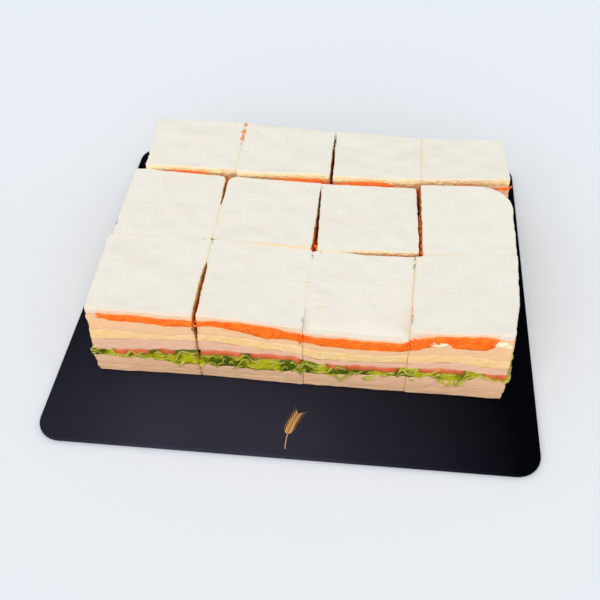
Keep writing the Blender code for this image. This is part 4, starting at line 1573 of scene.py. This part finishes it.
def make_sprig():
    foil = make_foil_material()
    across = [(0.0, 0.0), (0.18, 0.38), (0.45, 0.5), (0.75, 0.3), (1.0, 0.0)]
    upper = [(share * GRAIN_LENGTH, rise * GRAIN_WIDTH) for share, rise in across]
    lower = [(x, -y) for x, y in upper[1:-1]]
    awn = [(GRAIN_LENGTH + AWN_LENGTH, 0.0), (GRAIN_LENGTH, AWN_WIDTH / 2)]
    grain = flat_shape("grain", awn + upper[-2::-1] + lower + [(GRAIN_LENGTH, -AWN_WIDTH / 2)])
    path = bpy.data.meshes.new("path")
    stops = [stem_at(share) for share in np.linspace(0.36, 0.86, 12)]
    edges = [(i, i + 1) for i in range(len(stops) - 1)]
    path.from_pydata([(x * MM, y * MM, 0.0) for x, y in stops], edges, [])
    ear = grow(path, make_ear_tree(), Grain=grain, Pairs=GRAIN_PAIRS, Slant=GRAIN_SLANT, Finish=foil)
    spine = [stem_at(share) for share in np.linspace(0.0, 0.9, 16)]
    stem = flat_shape("stem", [(x, y - STEM_WIDTH / 2) for x, y in spine]
                      + [(x, y + STEM_WIDTH / 2) for x, y in spine[::-1]])
    mesh = merge_meshes("sprig", [ear, stem.data])
    for thing in (grain, stem):
        bpy.data.objects.remove(thing)
    shift = Vector((SPRIG_MIDDLE[0] * MM, SPRIG_MIDDLE[1] * MM, board_top + FOIL_LIFT))
    mesh.transform(Matrix.Translation(shift) @ Matrix.Rotation(SPRIG_TURN, 4, "Z"))
    return new_piece("gold_sprig", mesh, foil)


serve(make_sprig())


# The light and the camera
# A pale sweep under broad soft light from above and from the front, seen from above the front, a
# little to the right.

FLOOR_COLOUR = (0.820, 0.860, 0.895, 1.0)
FLOOR_SIZE = 6.0
FLOOR_DROP = 0.0002
FLOOR_ROUGHNESS = 0.9
FRONT_LIGHT_STRENGTH = 1.65
FRONT_LIGHT_SPREAD = math.radians(70)
FRONT_LIGHT_AIM = (0.15, 1.0, -0.62)
SKY_COLOUR = (0.97, 0.985, 1.0, 1.0)
SKY_STRENGTH = 0.74
CAMERA_PLACE = (0.0480, -0.4634, 0.4381)
CAMERA_YAW = math.radians(-6.57)
CAMERA_PITCH = math.radians(44.22)
CAMERA_ROLL = math.radians(-0.864)
FOCAL_PIXELS = 908.9
PICTURE_PIXELS = 600.0
SENSOR_WIDTH = 36.0


def make_floor():
    bpy.ops.mesh.primitive_plane_add(size=FLOOR_SIZE, location=(0.0, 0.0, -FLOOR_DROP))
    floor = bpy.context.object
    floor.name = "floor"
    material, _, shader = new_material("pale sweep")
    shader.inputs["Base Color"].default_value = FLOOR_COLOUR
    shader.inputs["Roughness"].default_value = FLOOR_ROUGHNESS
    shader.inputs["Specular IOR Level"].default_value = 0.0
    floor.data.materials.append(material)


def make_front_light():
    """Broad even light from the front, as from a long row of windows."""
    lamp = bpy.data.lights.new("front", "SUN")
    lamp.energy = FRONT_LIGHT_STRENGTH
    lamp.angle = FRONT_LIGHT_SPREAD
    light = bpy.data.objects.new("front", lamp)
    light.rotation_euler = Vector(FRONT_LIGHT_AIM).to_track_quat("-Z", "Y").to_euler()
    bpy.context.scene.collection.objects.link(light)


def make_camera():
    """The view: yaw turns right from +Y, pitch looks down, roll tips the picture."""
    ahead = Vector((math.sin(CAMERA_YAW) * math.cos(CAMERA_PITCH),
                    math.cos(CAMERA_YAW) * math.cos(CAMERA_PITCH),
                    -math.sin(CAMERA_PITCH)))
    level_right = Vector((math.cos(CAMERA_YAW), -math.sin(CAMERA_YAW), 0.0))
    level_up = level_right.cross(ahead)
    right = level_right * math.cos(CAMERA_ROLL) + level_up * math.sin(CAMERA_ROLL)
    up = level_up * math.cos(CAMERA_ROLL) - level_right * math.sin(CAMERA_ROLL)
    lens = bpy.data.cameras.new("camera")
    lens.sensor_width = SENSOR_WIDTH
    lens.lens = FOCAL_PIXELS / PICTURE_PIXELS * SENSOR_WIDTH
    camera = bpy.data.objects.new("camera", lens)
    turn = Matrix((right, up, -ahead)).transposed().to_4x4()
    camera.matrix_world = Matrix.Translation(CAMERA_PLACE) @ turn
    bpy.context.scene.collection.objects.link(camera)
    bpy.context.scene.camera = camera


make_floor()
make_front_light()
make_camera()

world = bpy.data.worlds.new("studio")
world.use_nodes = True
world.node_tree.nodes["Background"].inputs["Color"].default_value = SKY_COLOUR
world.node_tree.nodes["Background"].inputs["Strength"].default_value = SKY_STRENGTH
bpy.context.scene.world = world
bpy.context.scene.view_settings.view_transform = "Standard"
